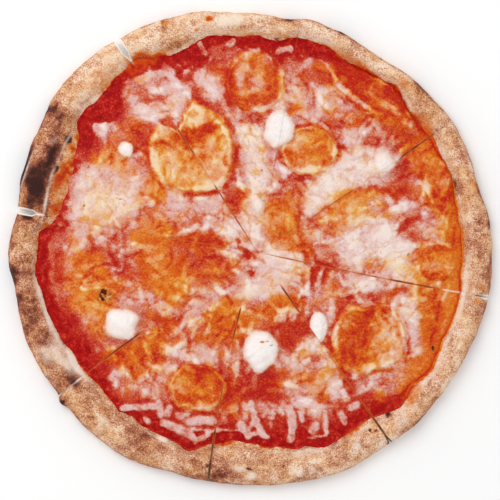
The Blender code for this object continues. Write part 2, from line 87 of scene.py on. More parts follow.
# ---- The dough's uneven outline: (degrees, mm beyond the mean radius) --------------------------------
OUTER_SWELLS = [
    (6, 1.3), (15, -2.2), (29, -0.6), (42, -2.7), (57, -6.0), (68, -4.0), (75, -2.4), (81, -5.0),
    (92, -3.0), (104, 1.5), (118, 4.2), (131, 5.7), (141, 5.0), (151, 1.2), (162, -0.8), (170, -3.4),
    (183, 0.8), (190, -1.4), (204, 0.7), (216, 0.0), (230, 1.9), (240, 1.6), (252, -2.4), (265, -2.9),
    (280, -1.3), (294, 0.7), (303, -0.3), (314, 1.2), (323, 0.4), (335, 0.8), (347, 2.2),
]
INNER_SWELLS = [
    (0, 2.0), (11, 1.5), (18, 3.0), (24, 2.0), (31, 3.2), (40, 0.7), (48, 5.3), (52, 2.2), (61, 1.3),
    (72, 4.5), (78, 4.0), (82, -0.5), (90, 1.3), (100, 4.0), (110, -0.6), (116, 0.6), (121, 6.5),
    (126, 5.2), (136, 2.0), (141, 3.2), (148, -1.6), (158, -2.6), (171, -3.0), (178, 1.8), (186, 3.3),
    (196, 1.2), (204, -0.3), (212, -3.2), (224, -4.0), (231, -1.4), (235, -3.2), (241, -1.4),
    (249, -2.0), (253, 1.0), (260, -7.0), (267, -8.6), (275, -5.4), (285, -2.7), (292, 1.4),
    (300, -1.0), (308, 2.4), (315, 5.8), (320, 2.4), (326, 5.8), (335, 4.0), (346, 4.0), (354, 2.4),
]
# How far the melted cheese stops short of the rim, on average.
CHEESE_MARGINS = [
    (0, -1), (20, -1), (32, 1), (42, 6), (55, 8), (66, 8), (76, 9), (82, 11), (88, 6), (95, 7),
    (103, 10), (110, 9), (116, 7), (123, 9), (129, 9), (136, 15), (142, 12), (148, 11), (154, 9),
    (161, 9), (168, 9), (173, 9), (180, 7), (187, 5.5), (196, 6.5), (207, 9), (214, 9), (221, 6),
    (228, 6), (236, 5), (248, 8), (262, 9), (272, 10), (285, 9), (293, 7), (300, 5), (306, 7), (313, 3),
    (325, 0), (340, -1), (350, -1),
]
# Where the cheese is thinner or thicker than elsewhere, round the pizza: (degrees, depth added).
CHEESE_SPREAD = [
    (0, 0.0), (67, 0.0), (112, -0.10), (157, -0.08), (200, 0.0), (247, -0.10), (292, -0.07),
    (337, 0.04),
]
# How far the sauce stops short of the rim: elsewhere it reaches it, here oily dough shows.
SAUCE_MARGINS = [
    (0, 0.3), (144, 0.3), (148, 5), (153, 8), (162, 11), (168, 9), (172, 6), (176, 1), (180, 0.3),
    (252, 0.3), (259, 1.5), (270, 2.5), (278, 1), (284, 0.3), (300, 0.3), (304, 2), (310, 1),
    (314, 0.3), (320, 1.5), (326, 0.5),
]
# How oily and orange the sauce is next to the rim.
OILY_MARGINS = [
    (0, 0.75), (30, 0.6), (42, 0.45), (60, 0.3), (75, 0.0), (113, 0.0), (119, 0.5), (124, 0.4),
    (129, 0.0), (140, 0.0), (150, 0.1), (168, 0.0), (190, 0.1), (200, 0.0), (290, 0.05), (305, 0.2),
    (318, 0.35), (332, 0.7),
]
# Bubbles that rose in the rim: (degrees, mm above the crest, half width in degrees).
RIM_BUBBLES = [
    (161, 4.2, 8), (145, 2.2, 6), (184, 1.8, 5), (209, 2.2, 7), (236, 1.6, 6), (262, 1.8, 5),
    (287, 1.2, 7), (113, 2.0, 6), (96, 1.0, 5), (79, 1.8, 4), (67, 1.4, 5), (46, 1.2, 6), (20, 1.4, 7),
    (352, 1.0, 6), (329, 1.4, 8), (308, 1.0, 5), (129, 1.2, 5), (196, 1.0, 4), (225, 0.8, 4),
]
# Small blisters and dimples on it: (degrees, radius, half width, height).
RIM_BLISTERS = [
    (267, 146, 2.6, 0.9), (270.5, 151, 3.2, 1.1), (282.5, 152.5, 2.6, 0.9), (286, 152.5, 2.4, 0.8),
    (298.5, 149, 3.2, 1.0), (207, 152, 4.5, 1.3), (230, 150, 4.0, 1.2), (228.6, 156, 3.0, 1.0),
    (100, 154.5, 2.2, 0.7), (104, 149, 2.0, 0.6), (110.5, 160, 2.6, 0.7), (131, 155, 3.4, 0.9),
    (139, 152, 4.0, 1.0), (95, 150, 4.2, 1.0), (47, 149, 2.8, 0.8), (33, 152, 3.6, 0.7),
    (12, 151, 3.6, 0.8), (355, 150, 4.0, 0.8), (341, 152, 3.2, 0.8), (318, 149, 4.2, 1.0),
    (311, 153, 3.4, 0.9), (294, 156, 2.8, 0.7), (256, 152, 4.0, 0.9), (245, 150, 3.4, 0.8),
    (242, 147, 2.6, -0.8), (218, 150, 3.0, -0.7), (196, 147, 2.6, -0.7), (176, 150, 3.0, 0.8),
    (149, 151, 3.4, 0.8), (80, 155, 2.2, -0.6), (60, 153, 3.2, 0.7), (70, 150, 3.0, 0.7),
]
TORN_FLAP = (219.3, 2.6, 1.5)  # a scrap that the knife pulled out: degrees, reach, half width

# ---- The cuts ----------------------------------------------------------------------------------------
CUT_CENTRE = (5.0, -2.3)
CUT_REACH = 1.12 * OUTER_RADIUS
CUT_POINTS = 180
KERF = 0.02  # gap left between the banks inside the rim
CUT_START = 1.0  # nearer than this to where the cuts meet, a bank's angle is held
TIP_RADIUS = 0.25  # where the tips of the slices end
EDGE_PASSES = 14
# (degrees at the rim, mm that it bows to the left seen from the centre, mm that the rim gapes, mm from
# the middle where that begins and where it is complete), counter-clockwise.
CUTS = [
    (32.7, -1.9, 0.9, 156.5, 160), (78.0, -1.3, 0.2, 154, 160), (122.7, -1.2, 3.2, 148.0, 153.5),
    (170.4, 1.0, 3.1, 143.0, 145.6), (217.9, -3.0, 0.5, 148, 160), (260.5, -5.0, 0.25, 150, 160),
    (305.8, 0.3, 1.2, 154, 160), (348.6, -1.2, 1.5, 149, 160),
]
# Where each cut shows: (mm from where the cuts meet, how dark it is, the dark being browned edges
# and painted shade in the gap; below zero it is pale), in the same order.
CUT_SHADE_TINTS = [
    [(0, 0), (16, 0.1), (20, 0.5), (28, 0.5), (34, 0.3), (60, 0.55), (76, 0.5), (84, 0), (111, 0),
     (115, 1.3), (138, 1.3), (143, 0.4), (152, 0.4), (157, -0.6), (164, -0.9)],
    [(0, 0), (40, 0.05), (46, 0.3), (68, 0.4), (72, 0.1), (125, 0.1), (140, 0.3), (160, 0.3)],
    [(0, 0.2), (12, 0.6), (50, 0.65), (55, 0.2), (74, 0.3), (80, 0.7), (96, 0.6), (100, 0.2),
     (135, 0.1), (145, 0.2), (151, -0.9), (170, -1)],
    [(0, 0.1), (25, 0.4), (56, 0.5), (62, 0.2), (70, 0.35), (140, 0.35), (144, -0.5), (150, -1)],
    [(0, 0), (42, 0.15), (50, 0.4), (60, 0.2), (92, 0.3), (97, 1), (126, 1), (130, 0.5), (140, 0.4),
     (143, -0.6), (152, -0.6), (158, -0.3), (170, -0.4)],
    [(0, 0), (37, 0.1), (41, 1), (60, 0.9), (63, -0.3), (86, -0.3), (92, 0.4), (96, 0.7), (110, 0.7),
     (116, 0.2), (122, 0.9), (160, 1)],
    [(0, 0), (26, 0.2), (30, 0.9), (48, 0.9), (52, 0.2), (78, 0.3), (90, 0.5), (122, 0.5), (128, 0.9),
     (158, 1), (162, -0.5)],
    [(0, 0.1), (10, 0.5), (60, 0.5), (90, 0.6), (96, 0.95), (114, 0.95), (122, 0.6), (127, -0.8),
     (137, -0.8), (142, -0.2), (148, -0.4), (154, -1)],
]

# ---- What lies where in the cheese: (x, y, half length, half width, turn, strength) ------------------
# Pools where the melted cheese is thick and pale.
POOLS = [
    (-56, 104, 13, 11, 20, 0.36), (-47, 95, 8, 7, 40, 0.25), (-66, 91, 9, 3.5, 0, 0.3),
    (-70, 117, 13, 4, 0, 0.35), (-77, 103, 7, 11, 0, 0.35), (-72, 92, 8, 6, 0, 0.25),
    (-45, 120, 13, 6, 15, 0.3), (-31, 113, 12, 6, -40, 0.4), (-21, 103, 7, 7, -40, 0.45),
    (-97, 82, 11, 6.5, -10, 0.42), (-94, 42, 24, 16, 10, 0.36), (-88, 24, 20, 12, -10, 0.35),
    (-112, 20, 9, 16, 0, 0.3), (-108, 48, 8, 8, 30, 0.25), (-75, 36, 7, 9, 0, 0.3),
    (-52, 34, 9, 10, 30, 0.35), (-28, 29, 14, 7, 5, 0.4), (-14, 8, 6, 8, 0, 0.4),
    (-13, -4, 5, 4, 0, 0.3), (0, -24, 8, 8, 0, 0.3), (-45, 18, 7, 5, 0, 0.25),
    (-28, 15, 5, 2.4, 0, 0.6), (-10, 14, 9, 11, 20, 0.40), (2, 14, 7, 9, 0, 0.2),
    (-1, 74, 9, 13, 10, 0.65), (5, 56, 8, 13, 0, 0.4), (5, 30, 8, 11, 0, 0.5), (4, 46, 12, 6, 0, 0.3),
    (27, 82, 5, 7, 0, 0.35), (31, 106, 4.5, 14, 14, 0.35), (39, 127, 4, 6, -15, 0.3),
    (52, 100, 6, 9, 60, 0.25), (46, 88, 9, 5, 0, 0.15), (66, 92, 8, 5, -40, 0.2),
    (66, 76, 8, 7, -30, 0.35), (42, 32, 9, 8, 30, 0.5), (56, 43, 15, 10, 40, 0.66),
    (69, 55, 12, 11, 45, 0.6), (79, 49, 8, 6, 20, 0.35), (86, 57, 12, 9, 15, 0.45),
    (24, 43, 7, 6, 20, 0.2), (83, 92, 7, 5, -30, 0.15), (76, 8, 17, 11, 30, 0.55),
    (92, 3, 16, 13, -20, 0.5), (66, -4, 10, 7, -20, 0.4), (100, -14, 9, 8, -20, 0.35),
    (122, 14, 8, 7, 0, 0.25), (104, 28, 6, 5, 0, 0.1), (85, 33, 4, 5, 0, 0.2), (44, 7, 8, 5, 10, 0.3),
    (76, -24, 12, 5.5, -8, 0.45), (97, -23, 5, 4, 0, 0.3), (55, -32, 6, 5, 0, 0.2),
    (20, -10, 11, 10, -45, 0.62), (12, -27, 12, 7, 10, 0.45), (-4, -12, 6, 9, 0, 0.25),
    (-12, -31, 15, 4.5, -5, 0.25), (7, -16, 7, 6, 0, 0.25), (38, -24, 4, 13, 8, 0.15),
    (105, -43, 5, 7, 0, 0.35), (110, -58, 6, 13, -8, 0.3), (94, -86, 12, 5, 10, 0.15),
    (82, -92, 8, 4, -20, 0.2), (43, -63, 6, 5, -40, 0.6), (44, -68, 7, 5, 0, 0.35),
    (31, -73, 8, 6, 20, 0.3), (51, -80, 10, 8, -50, 0.3), (30, -80, 8, 5, 0, 0.2),
    (47, -94, 13, 6, 20, 0.3), (30, -95, 8, 5, -10, 0.2), (46, -107, 7, 8, 0, 0.45),
    (62, -97, 6, 6, -30, 0.35), (-11, -78, 5, 9, 0, 0.25), (-31, -71, 13, 7, -10, 0.35),
    (-52, -68, 7, 4, 0, 0.25), (-56, -87, 8, 10, 10, 0.25), (-68, -90, 6, 8, 0, 0.15),
    (-86, -88, 9, 7, 0, 0.12), (-34, -115, 11, 4.5, -5, 0.35), (-38, -47, 7, 19, -35, 0.30),
    (-62, -12, 9, 11, 0, 0.09), (-60, -40, 7, 4, 20, 0.15), (-79, -1, 6, 6, 0, 0.2),
    (-70, -31, 6, 4, 0, 0.2), (-126, -27, 5, 4, 40, 0.3), (-104, -47, 5, 6, 0, 0.25),
    (-121, -6, 5, 6, 0, 0.15), (5, 3, 6, 3.5, 10, 0.2), (-15, 116, 5, 5, 0, 0.1),
    (-20, 50, 3, 3, 0, 0.1), (60, 12, 6, 4, 0, 0.1), (65, -84, 5, 5, 0, 0.15), (0, -46, 6, 6, 0, 0.1),
]
# Where it is thin or missing and the sauce shows.
BARE_PLACES = [
    (-66, 98, 10, 2.2, 3, -0.5), (-73, 107, 6, 4, 0, -0.3), (-38, 115, 8, 2.2, 45, -0.5),
    (-35, 102, 6, 3, -50, -0.4), (-91, 97, 5, 9, 0, -0.4), (-86, 88, 4, 8, 0, -0.3),
    (-70, 66, 4, 9, 10, -0.45), (-73, 78, 7, 6, 0, -0.25), (-20, 96, 8, 3, 0, -0.3),
    (-15, 108, 4, 13, 10, -0.35), (-22, 122, 7, 5, -20, -0.3), (3, 86, 10, 3.5, 10, -0.5),
    (-11, 62, 2.5, 12, 5, -0.4), (-15, 44, 6, 4, 30, -0.3), (-28, 38, 16, 2.2, 0, -0.5),
    (-8, 32, 7, 7, 30, -0.5), (26, 45, 9, 3, 10, -0.55), (23, 36, 8, 5, 30, -0.3),
    (33, 24, 2.6, 13, 0, -0.5), (45, 81, 13, 4, 5, -0.35), (60, 72, 2.5, 11, -10, -0.4),
    (27, 97, 3, 8, -30, -0.2), (46, 113, 5, 12, 35, -0.3), (70, 84, 9, 3, -10, -0.3),
    (82, 70, 7, 3, 0, -0.45), (60, 98, 5, 3, -30, -0.2), (90, 39, 18, 4.5, -8, -0.5),
    (102, 50, 5, 9, -20, -0.3), (103, 69, 7, 5, 30, -0.6), (134, 6, 6, 9, 0, -0.2),
    (136, 25, 4, 6, 0, -0.2), (124, -44, 6, 14, 8, -0.2), (-86, -10, 5, 4, 0, -0.3),
    (121, -58, 6, 18, 8, -0.2), (118, -78, 8, 9, 0, -0.2), (98, 68, 3, 9, 10, -0.3),
    (105, 17, 8, 3, 22, -0.75), (109, 9, 5, 4, 0, -0.5), (37, -2, 5, 7, 10, -0.7),
    (50, -11, 9, 3.5, 0, -0.5), (52, -6, 7, 4, 0, -0.3), (42, -20, 3, 8, 5, -0.5),
    (50, -19, 3, 5, 0, -0.3), (36, -32, 2.2, 8, 10, -0.3), (30, -36, 3.5, 5, 20, -0.4),
    (57, -45, 3, 13, -18, -0.5), (68, -34, 5, 3.5, 20, -0.5), (83, -33, 6, 3, 0, -0.5),
    (92, -22, 3, 4, 0, -0.4), (97, -30, 10, 2.5, 0, -0.4), (52, -62, 3, 6, 0, -0.5),
    (60, -78, 3, 15, 25, -0.4), (67, -92, 3, 12, 20, -0.5), (27, -56, 12, 8, 0, -0.8),
    (37, -44, 5, 4, 30, -0.5), (24, -46, 5, 3, 0, -0.2), (4, -91, 19, 10, 0, -0.38),
    (14, -97, 8, 5, 0, -0.3), (-16, -93, 4, 14, -10, -0.4), (-18, -78, 3, 5, 0, -0.4),
    (12, -84, 10, 4, 10, -0.2), (48, -100, 6, 2.4, -10, -0.5), (44, -74, 3, 3, 0, -0.5),
    (20, -120, 22, 10, 0, -0.5), (-10, -115, 10, 11, 0, -0.35), (-38, -119, 24, 7, -10, -0.35),
    (48, -119, 12, 9, 20, -0.2), (58, -106, 5, 7, 0, -0.5), (74, -104, 7, 9, -30, -0.4),
    (98, -101, 9, 3, 0, -0.7), (72, -110, 8, 5, 0, -0.4), (-34, 6, 19, 4.5, 0, -0.6),
    (-32, -10, 17, 10, 0, -0.26), (-15, -12, 7, 11, 0, -0.3), (-36, 17, 7, 2.5, 0, -0.2),
    (-6, 1, 4, 2, -10, -0.4), (-1, -5, 2.4, 3.4, 0, -0.3), (1, -17, 2.6, 3.2, -30, -0.3),
    (-57, -51, 11, 8, 0, -0.40), (-81, -70, 12, 5, 10, -0.32), (-45, -57, 6, 4, 0, -0.3),
    (-85, -9, 13, 9, 0, -0.22), (-70, -18, 7, 7, 0, -0.25), (-86, 8, 4, 7, 0, -0.35),
    (-80, 15, 3, 5, 0, -0.3), (-103, -1, 6, 3, 0, -0.3), (-90, -23, 9, 3, 10, -0.2),
    (-62, -72, 9, 4, 0, -0.3), (-80, -85, 6, 8, 0, -0.12), (-96, -82, 6, 5, 0, -0.2),
    (-75, -101, 16, 3, -8, -0.5), (-65, -113, 5, 7, 0, -0.5), (-50, -127, 10, 3, -20, -0.6),
    (-48, -105, 4, 8, 0, -0.4), (-32, -108, 14, 2, 0, -0.4), (-104, -75, 7, 10, 20, -0.5),
    (-116, -58, 6, 12, 20, -0.5), (-122, -42, 5, 14, 10, -0.35), (-127, -15, 5, 14, 0, -0.5),
    (100, 76, 12, 3, -15, -0.3), (-106, 66, 5, 10, 0, -0.4), (-94, 66, 5, 8, 20, -0.15),
    (75, 95, 5, 3, -30, -0.3), (112, -28, 8, 3, 0, -0.2),
]
# Where orange oil has come out.
OILY_PLACES = [
    (-107, -12, 12, 11, -30, 0.9), (-104, -28, 13, 12, 0, 0.9), (-114, -38, 8, 9, 0, 0.5),
    (-87, -8, 13, 10, 0, -0.4), (-98, -42, 7, 6, 0, 0.8), (-92, -24, 9, 6, 0, 0.7),
    (-100, -55, 9, 5, 0, 0.4), (-63, 40, 5.5, 9, 10, 0.9), (-69, 6, 8, 5.5, 0, 0.9),
    (-58, 14, 6, 8, 0, 0.7), (-63, -8, 8, 12, 0, 1.1), (-56, -20, 11, 10, 0, 1.1),
    (-45, -22, 6, 7, 0, 0.8), (-36, 5, 19, 5, 0, 0.4), (-36, -10, 16, 9, 0, 0.3),
    (-18, -15, 8, 9, 0, 0.3), (20, 20, 12, 11, 20, 0.95), (28, 5, 6, 8, 0, 0.85),
    (38, -2, 4, 6, 0, 0.3), (64, 27, 14, 10, 40, 0.75), (60, 13, 6, 5, 0, 0.7), (78, 36, 8, 5, 20, 0.5),
    (92, 38, 14, 4, 0, 0.4), (125, -10, 13, 13, 0, 0.9), (117, -19, 8, 6, 0, 0.8),
    (124, 44, 11, 22, 20, 0.85), (120, 66, 10, 10, 30, 0.7), (133, 18, 5, 12, 0, 0.85),
    (138, 0, 4, 16, 0, 0.8), (123, -48, 9, 20, 10, 0.8), (134, -34, 7, 12, 0, 0.7),
    (114, -78, 10, 12, -30, 0.75), (104, -94, 5, 7, 0, 0.6), (126, -66, 6, 8, 20, 0.6),
    (-14, -48, 14, 12, 0, 0.95), (0, -50, 6, 8, 0, 0.6), (22, -37, 10, 6, 10, 0.75),
    (5, -42, 10, 3, 0, 0.5), (-80, -70, 19, 7, 10, 0.9), (-62, -60, 9, 5, 0, 0.4),
    (-72, -80, 8, 5, 0, 0.5), (-55, -50, 10, 8, 20, 0.35), (30, -87, 14, 5, 5, 0.45),
    (46, -96, 7, 5, 0, 0.3), (38, -71, 4, 3, 0, 0.5), (62, -74, 6, 10, 25, 0.5),
    (-10, -100, 8, 10, 0, 0.35), (86, -104, 4, 8, 10, 0.5), (80, -70, 8, 8, 0, 0.5),
    (-90, 66, 8, 9, 0, 0.35), (-87, 55, 10, 5, -40, 0.5), (-100, 60, 8, 6, 0, 0.3),
    (-93, 34, 28, 17, 0, 0.22), (-65, 62, 5, 9, 0, 0.3), (-80, 82, 9, 6, 0, 0.3),
    (-78, 120, 8, 9, 30, 0.7), (-66, 126, 9, 3, -10, 0.5), (-22, 117, 8, 4, -30, 0.3),
    (8, 67, 4, 4, 0, 0.5), (3, 52, 3, 3, 0, 0.35), (7, 58, 3, 2, 0, 0.4), (47, 124, 6, 5, -40, 0.6),
    (54, 114, 6, 8, 40, 0.5), (30, 92, 6, 3, 20, 0.4), (72, 84, 7, 3, -10, 0.35),
    (58, 88, 6, 4, 0, 0.2), (80, 88, 8, 4, 0, 0.25), (85, 51, 6, 3, 10, 0.35), (104, 66, 6, 4, 30, 0.6),
    (113, 70, 9, 4, 40, 0.6), (46, 20, 6, 6, 0, 0.15), (80, 4, 24, 12, 0, -0.2),
    (64, 48, 26, 10, 40, -0.22), (20, -12, 10, 10, 0, 0.14), (-1, 72, 8, 12, 10, 0.12),
    (78, -8, 5, 3, 0, 0.3), (104, -13, 4, 3, 0, 0.5), (107, -4, 4, 3, 0, 0.4), (55, -28, 6, 7, 0, 0.3),
    (45, -35, 9, 4, 0, 0.35), (32, -16, 6, 5, 0, 0.25), (10, 48, 5, 3, 0, 0.1), (10, 22, 4, 7, 0, 0.2),
    (-3, 25, 5, 10, 0, 0.25), (-15, 26, 4, 5, 0, 0.3), (-40, -30, 10, 4, 30, 0.2),
    (-52, -36, 8, 4, 0, 0.2), (-36, -52, 7, 14, -30, 0.15), (-60, -88, 8, 9, 0, 0.22),
    (-78, -88, 4, 5, 0, 0.25), (-45, -100, 6, 5, 0, 0.3), (100, -82, 5, 6, 0, 0.2),
    (-116, 4, 6, 5, 0, 0.3), (-102, 12, 5, 3, 0, 0.25), (95, 82, 10, 3, -20, 0.4),
    (-30, -58, 5, 10, 0, 0.1), (110, -40, 5, 8, 0, 0.2), (109, -60, 6, 15, -8, -0.35),
    (98, -50, 3, 12, 0, 0.3), (-4, 36, 6, 6, 0, 0.3),
]
# Strands of grated cheese that kept their shape: x, y, degrees, length, width, sideways bend.
STRANDS = [
    (6.5, -114, -66, 29, 4.8, -2.2), (-3.6, -121, -52, 15, 5.4, 0.5), (2.0, -117, 47, 11, 3.6, 0.0),
    (-12, -121.4, -4, 24, 2.4, 0.5), (26.2, -117, -88, 26, 6.0, 2.4), (34.6, -111, -84, 9, 4.2, 0.0),
    (42.8, -119.6, 50, 10, 6.4, 0.0), (50.4, -116, -88, 17, 3.4, 0.4), (45, -126, 6, 14, 2.0, 0.8),
    (69.6, -104.8, 26, 9, 5.2, 0.0), (62.0, -113, -62, 11, 5.4, 0.0), (6, -123, 5, 9, 4.0, 0.0),
    (-74, -106, 3, 26, 5.0, 0.8), (-48, -121, -24, 27, 6.0, 1.0), (-59.5, -107, -82, 13, 4.4, 0.0),
    (-54, -108, 68, 9, 4.6, 0.0), (-68, -114.5, -42, 8, 4.4, 0.0), (-32, -115, 4, 20, 6.4, 0.6),
    (-32, -126.0, 28, 14, 4.4, 0.0), (-30, -121.4, -4, 22, 2.4, 0.8), (-31.6, 133, -62, 12, 4.6, 0.4),
    (-12, 137.0, 35, 8, 5.0, 0.0), (3, 132.6, -6, 9, 4.0, -1.4), (23.4, 131.6, 14, 13, 5.0, 0.8),
]
# Strands and tears that melted in: the same six numbers, then how much depth they add.
MELTED_STRANDS = [
    (38.6, -33, 84, 22, 3.4, 0.6, 0.24), (33.0, -36, 78, 14, 3.2, -0.6, 0.24),
    (45.6, -24, 82, 18, 3.2, 0.0, 0.26), (48.4, -14, 75, 9, 3.0, 0.0, 0.22),
    (40.4, -15, 75, 12, 3.0, 0.5, 0.2), (53, -21, 70, 13, 3.0, -0.5, 0.2),
    (28.6, -44, 75, 9, 4.6, 0.0, 0.45), (20.6, -46.4, 10, 8, 4.8, 0.0, 0.45),
    (36, -20, -70, 9, 2.0, 0.0, -0.25), (42.5, -20, 85, 12, 1.8, 0.0, -0.35),
    (49.6, -19, 80, 10, 1.8, 0.0, -0.25), (36, -40, 78, 9, 1.8, 0.0, -0.3),
    (-65, -57.4, 10, 9, 4.6, 0.6, 0.28), (-83, -81.5, -30, 8, 4.4, 0.0, 0.3),
    (-46, -64, 42, 13, 3.6, 0.0, 0.25), (-103, -67.6, -10, 7, 3.6, 0.0, 0.3),
    (-91, -88, -40, 9, 4.4, 0.0, 0.3), (-80, -93, 15, 12, 4.4, 0.0, 0.25),
    (-18.6, 121.6, 10, 6, 4.2, 0.0, 0.3), (-27, 126, 0, 6, 4.4, 0.0, 0.35),
    (-101, 84, -20, 12, 5.6, 0.6, 0.3), (-97, 78, 60, 8, 4.6, 0.0, 0.25),
    (34, -103, 10, 14, 4.2, -1.6, 0.3), (15, -111, 80, 7, 5.2, 0.0, 0.4),
    (14.6, -117.5, -70, 5, 3.6, 0.0, 0.35), (-13, -109, 35, 14, 4.6, 1.0, 0.35),
    (-3.0, -109, -86, 15, 4.4, 0.0, 0.4), (-24, -108, 0, 12, 3.4, 0.0, 0.3),
    (-8, -113, -55, 12, 4.4, 0.8, 0.35), (-19, -116, 20, 10, 4.0, 0.0, 0.3),
    (-62, -99, -80, 12, 4.4, 0.0, 0.25), (-70, -98, 70, 10, 4.2, 0.0, 0.25),
    (-44, -110, 20, 12, 4.4, 0.0, 0.3), (57, -104, -60, 12, 4.4, 0.0, 0.3),
    (64, -98, -55, 11, 4.4, 0.0, 0.3), (22, -106, 70, 9, 4.0, 0.0, 0.25),
    (-8, 3.4, -66, 6, 2.6, 1.0, -0.5), (-2, -3.8, -70, 7, 3.0, 0.6, -0.6),
    (6.6, -2.6, 8, 6, 1.4, 0.8, -0.4), (9.4, -9.4, -50, 5, 1.8, 0.4, -0.3),
    (0.4, -17, -45, 5, 3.0, 0.8, -0.5), (3.4, -16, 30, 3, 1.4, 0.0, -0.3),
    (64, 104, -42, 15, 2.8, 0.5, 0.30), (74, 96.5, -36, 15, 2.6, 0.3, 0.34),
    (88, 88.6, -24, 17, 2.2, 0.5, 0.35), (101, 83.5, -12, 14, 2.0, 0.0, 0.3),
    (84, 99, -40, 20, 1.5, 0.8, 0.28), (93, 95, -38, 18, 1.4, 0.5, 0.25),
    (78, 109, -33, 16, 1.4, -0.5, 0.2), (68, 117, -25, 12, 1.4, 0.0, 0.24),
    (54, 117, -58, 15, 2.0, 0.8, 0.35), (76, 103, -38, 16, 1.4, 0.3, 0.22),
    (98, 89, -28, 15, 1.6, 0.3, 0.25), (61, 100, -44, 16, 1.8, 0.4, -0.25),
    (72, 101.5, -40, 22, 1.8, 0.4, -0.3), (83, 93, -34, 22, 1.8, 0.3, -0.25),
    (60, 112, -50, 16, 1.8, 0.4, -0.2), (90, 99, -38, 14, 1.6, 0.0, -0.2),
    (106, 86, -20, 12, 1.8, 0.0, -0.25), (70, 107, -40, 20, 1.6, 0.6, 0.22),
    (86, 103, -34, 18, 1.4, 0.4, 0.25), (96, 93, -34, 14, 1.4, 0.3, 0.3),
    (80, 92, -32, 22, 1.6, 0.5, 0.25), (64, 117, -30, 10, 1.4, 0.0, 0.2),
    (117, 42, 78, 16, 1.8, 1.0, 0.4), (124, 58, -35, 13, 1.8, 0.8, 0.3),
    (128, 47, 65, 12, 1.6, 0.5, -0.3), (132, 37, 80, 11, 1.8, 0.0, -0.3),
    (121, 29, -60, 11, 1.6, 0.5, 0.3), (118, 66, 25, 13, 1.6, 0.0, -0.3),
    (125, 68, -25, 10, 1.6, 0.5, 0.25), (133, 22, 70, 13, 1.6, 0.5, 0.25),
    (136, 6, 85, 16, 1.6, 0.5, -0.25), (58.5, 31, 31, 38, 1.8, 0.0, -0.25),
    (118.5, 37, -57, 15, 1.8, 0.0, 0.34), (128, 20.5, -60, 17, 1.7, 0.3, 0.32),
    (-92, -12.2, -5, 13, 3.4, 0.0, -0.26), (-87, -14, 80, 5, 3.0, 0.0, -0.2),
    (-103, -14.5, 25, 19, 2.4, 1.0, 0.2), (-87, -84, -12, 13, 3.4, 0.6, 0.25),
    (-92, -93, 20, 9, 3.2, 0.0, 0.25), (-80, -101, 8, 12, 3.2, 0.0, 0.2),
    (123, -4, 15, 15, 1.6, 0.8, 0.25), (128, -12, -10, 14, 1.6, 0.8, 0.3),
    (124, -17, 20, 10, 1.6, 0.5, -0.3), (131, -30, 70, 12, 1.6, 0.5, 0.3),
    (126, -42, 80, 14, 1.8, 0.6, -0.3), (122, -60, 75, 14, 1.8, 0.5, -0.25),
    (129, -52, 70, 10, 1.6, 0.5, 0.25), (112, -90, 50, 12, 1.8, 0.5, -0.25),
    (116, -76, 60, 11, 1.6, 0.5, 0.2),
]
# Melted shreds that give the cheese its look, and the gaps between them where red shows: how many,
# lengths, widths, strength and softness of their edges.
MELTED_SHREDS = [(1100, (6, 15), (2.6, 4.2), 0.21, 0.9), (1100, (4, 13), (1.2, 2.4), -0.20, 0.9)]
SHRED_SEED = 5
SCORCHED_CHEESE = [
    (-99, -33, 2.4, 4.0, 0, 0.95), (-97, -28.5, 2.0, 1.6, 0, 0.8), (-94, -31, 3.2, 3.6, 20, 0.5),
    (-128, 14, 1.6, 1.1, 0, 0.9), (91, -108, 1.6, 1.1, 30, 1.0), (122, -66.5, 1.0, 1.8, 20, 0.8),
    (-87, 33, 1.8, 1.3, 0, 0.45), (-36, 29, 1.6, 1.2, 0, 0.4), (-110, 29, 0.9, 1.6, 0, 0.4),
    (87, -7, 1.2, 0.9, 0, 0.35), (105, -4, 1.8, 0.9, 40, 0.35), (8, 52, 1.2, 0.9, 0, 0.3),
]

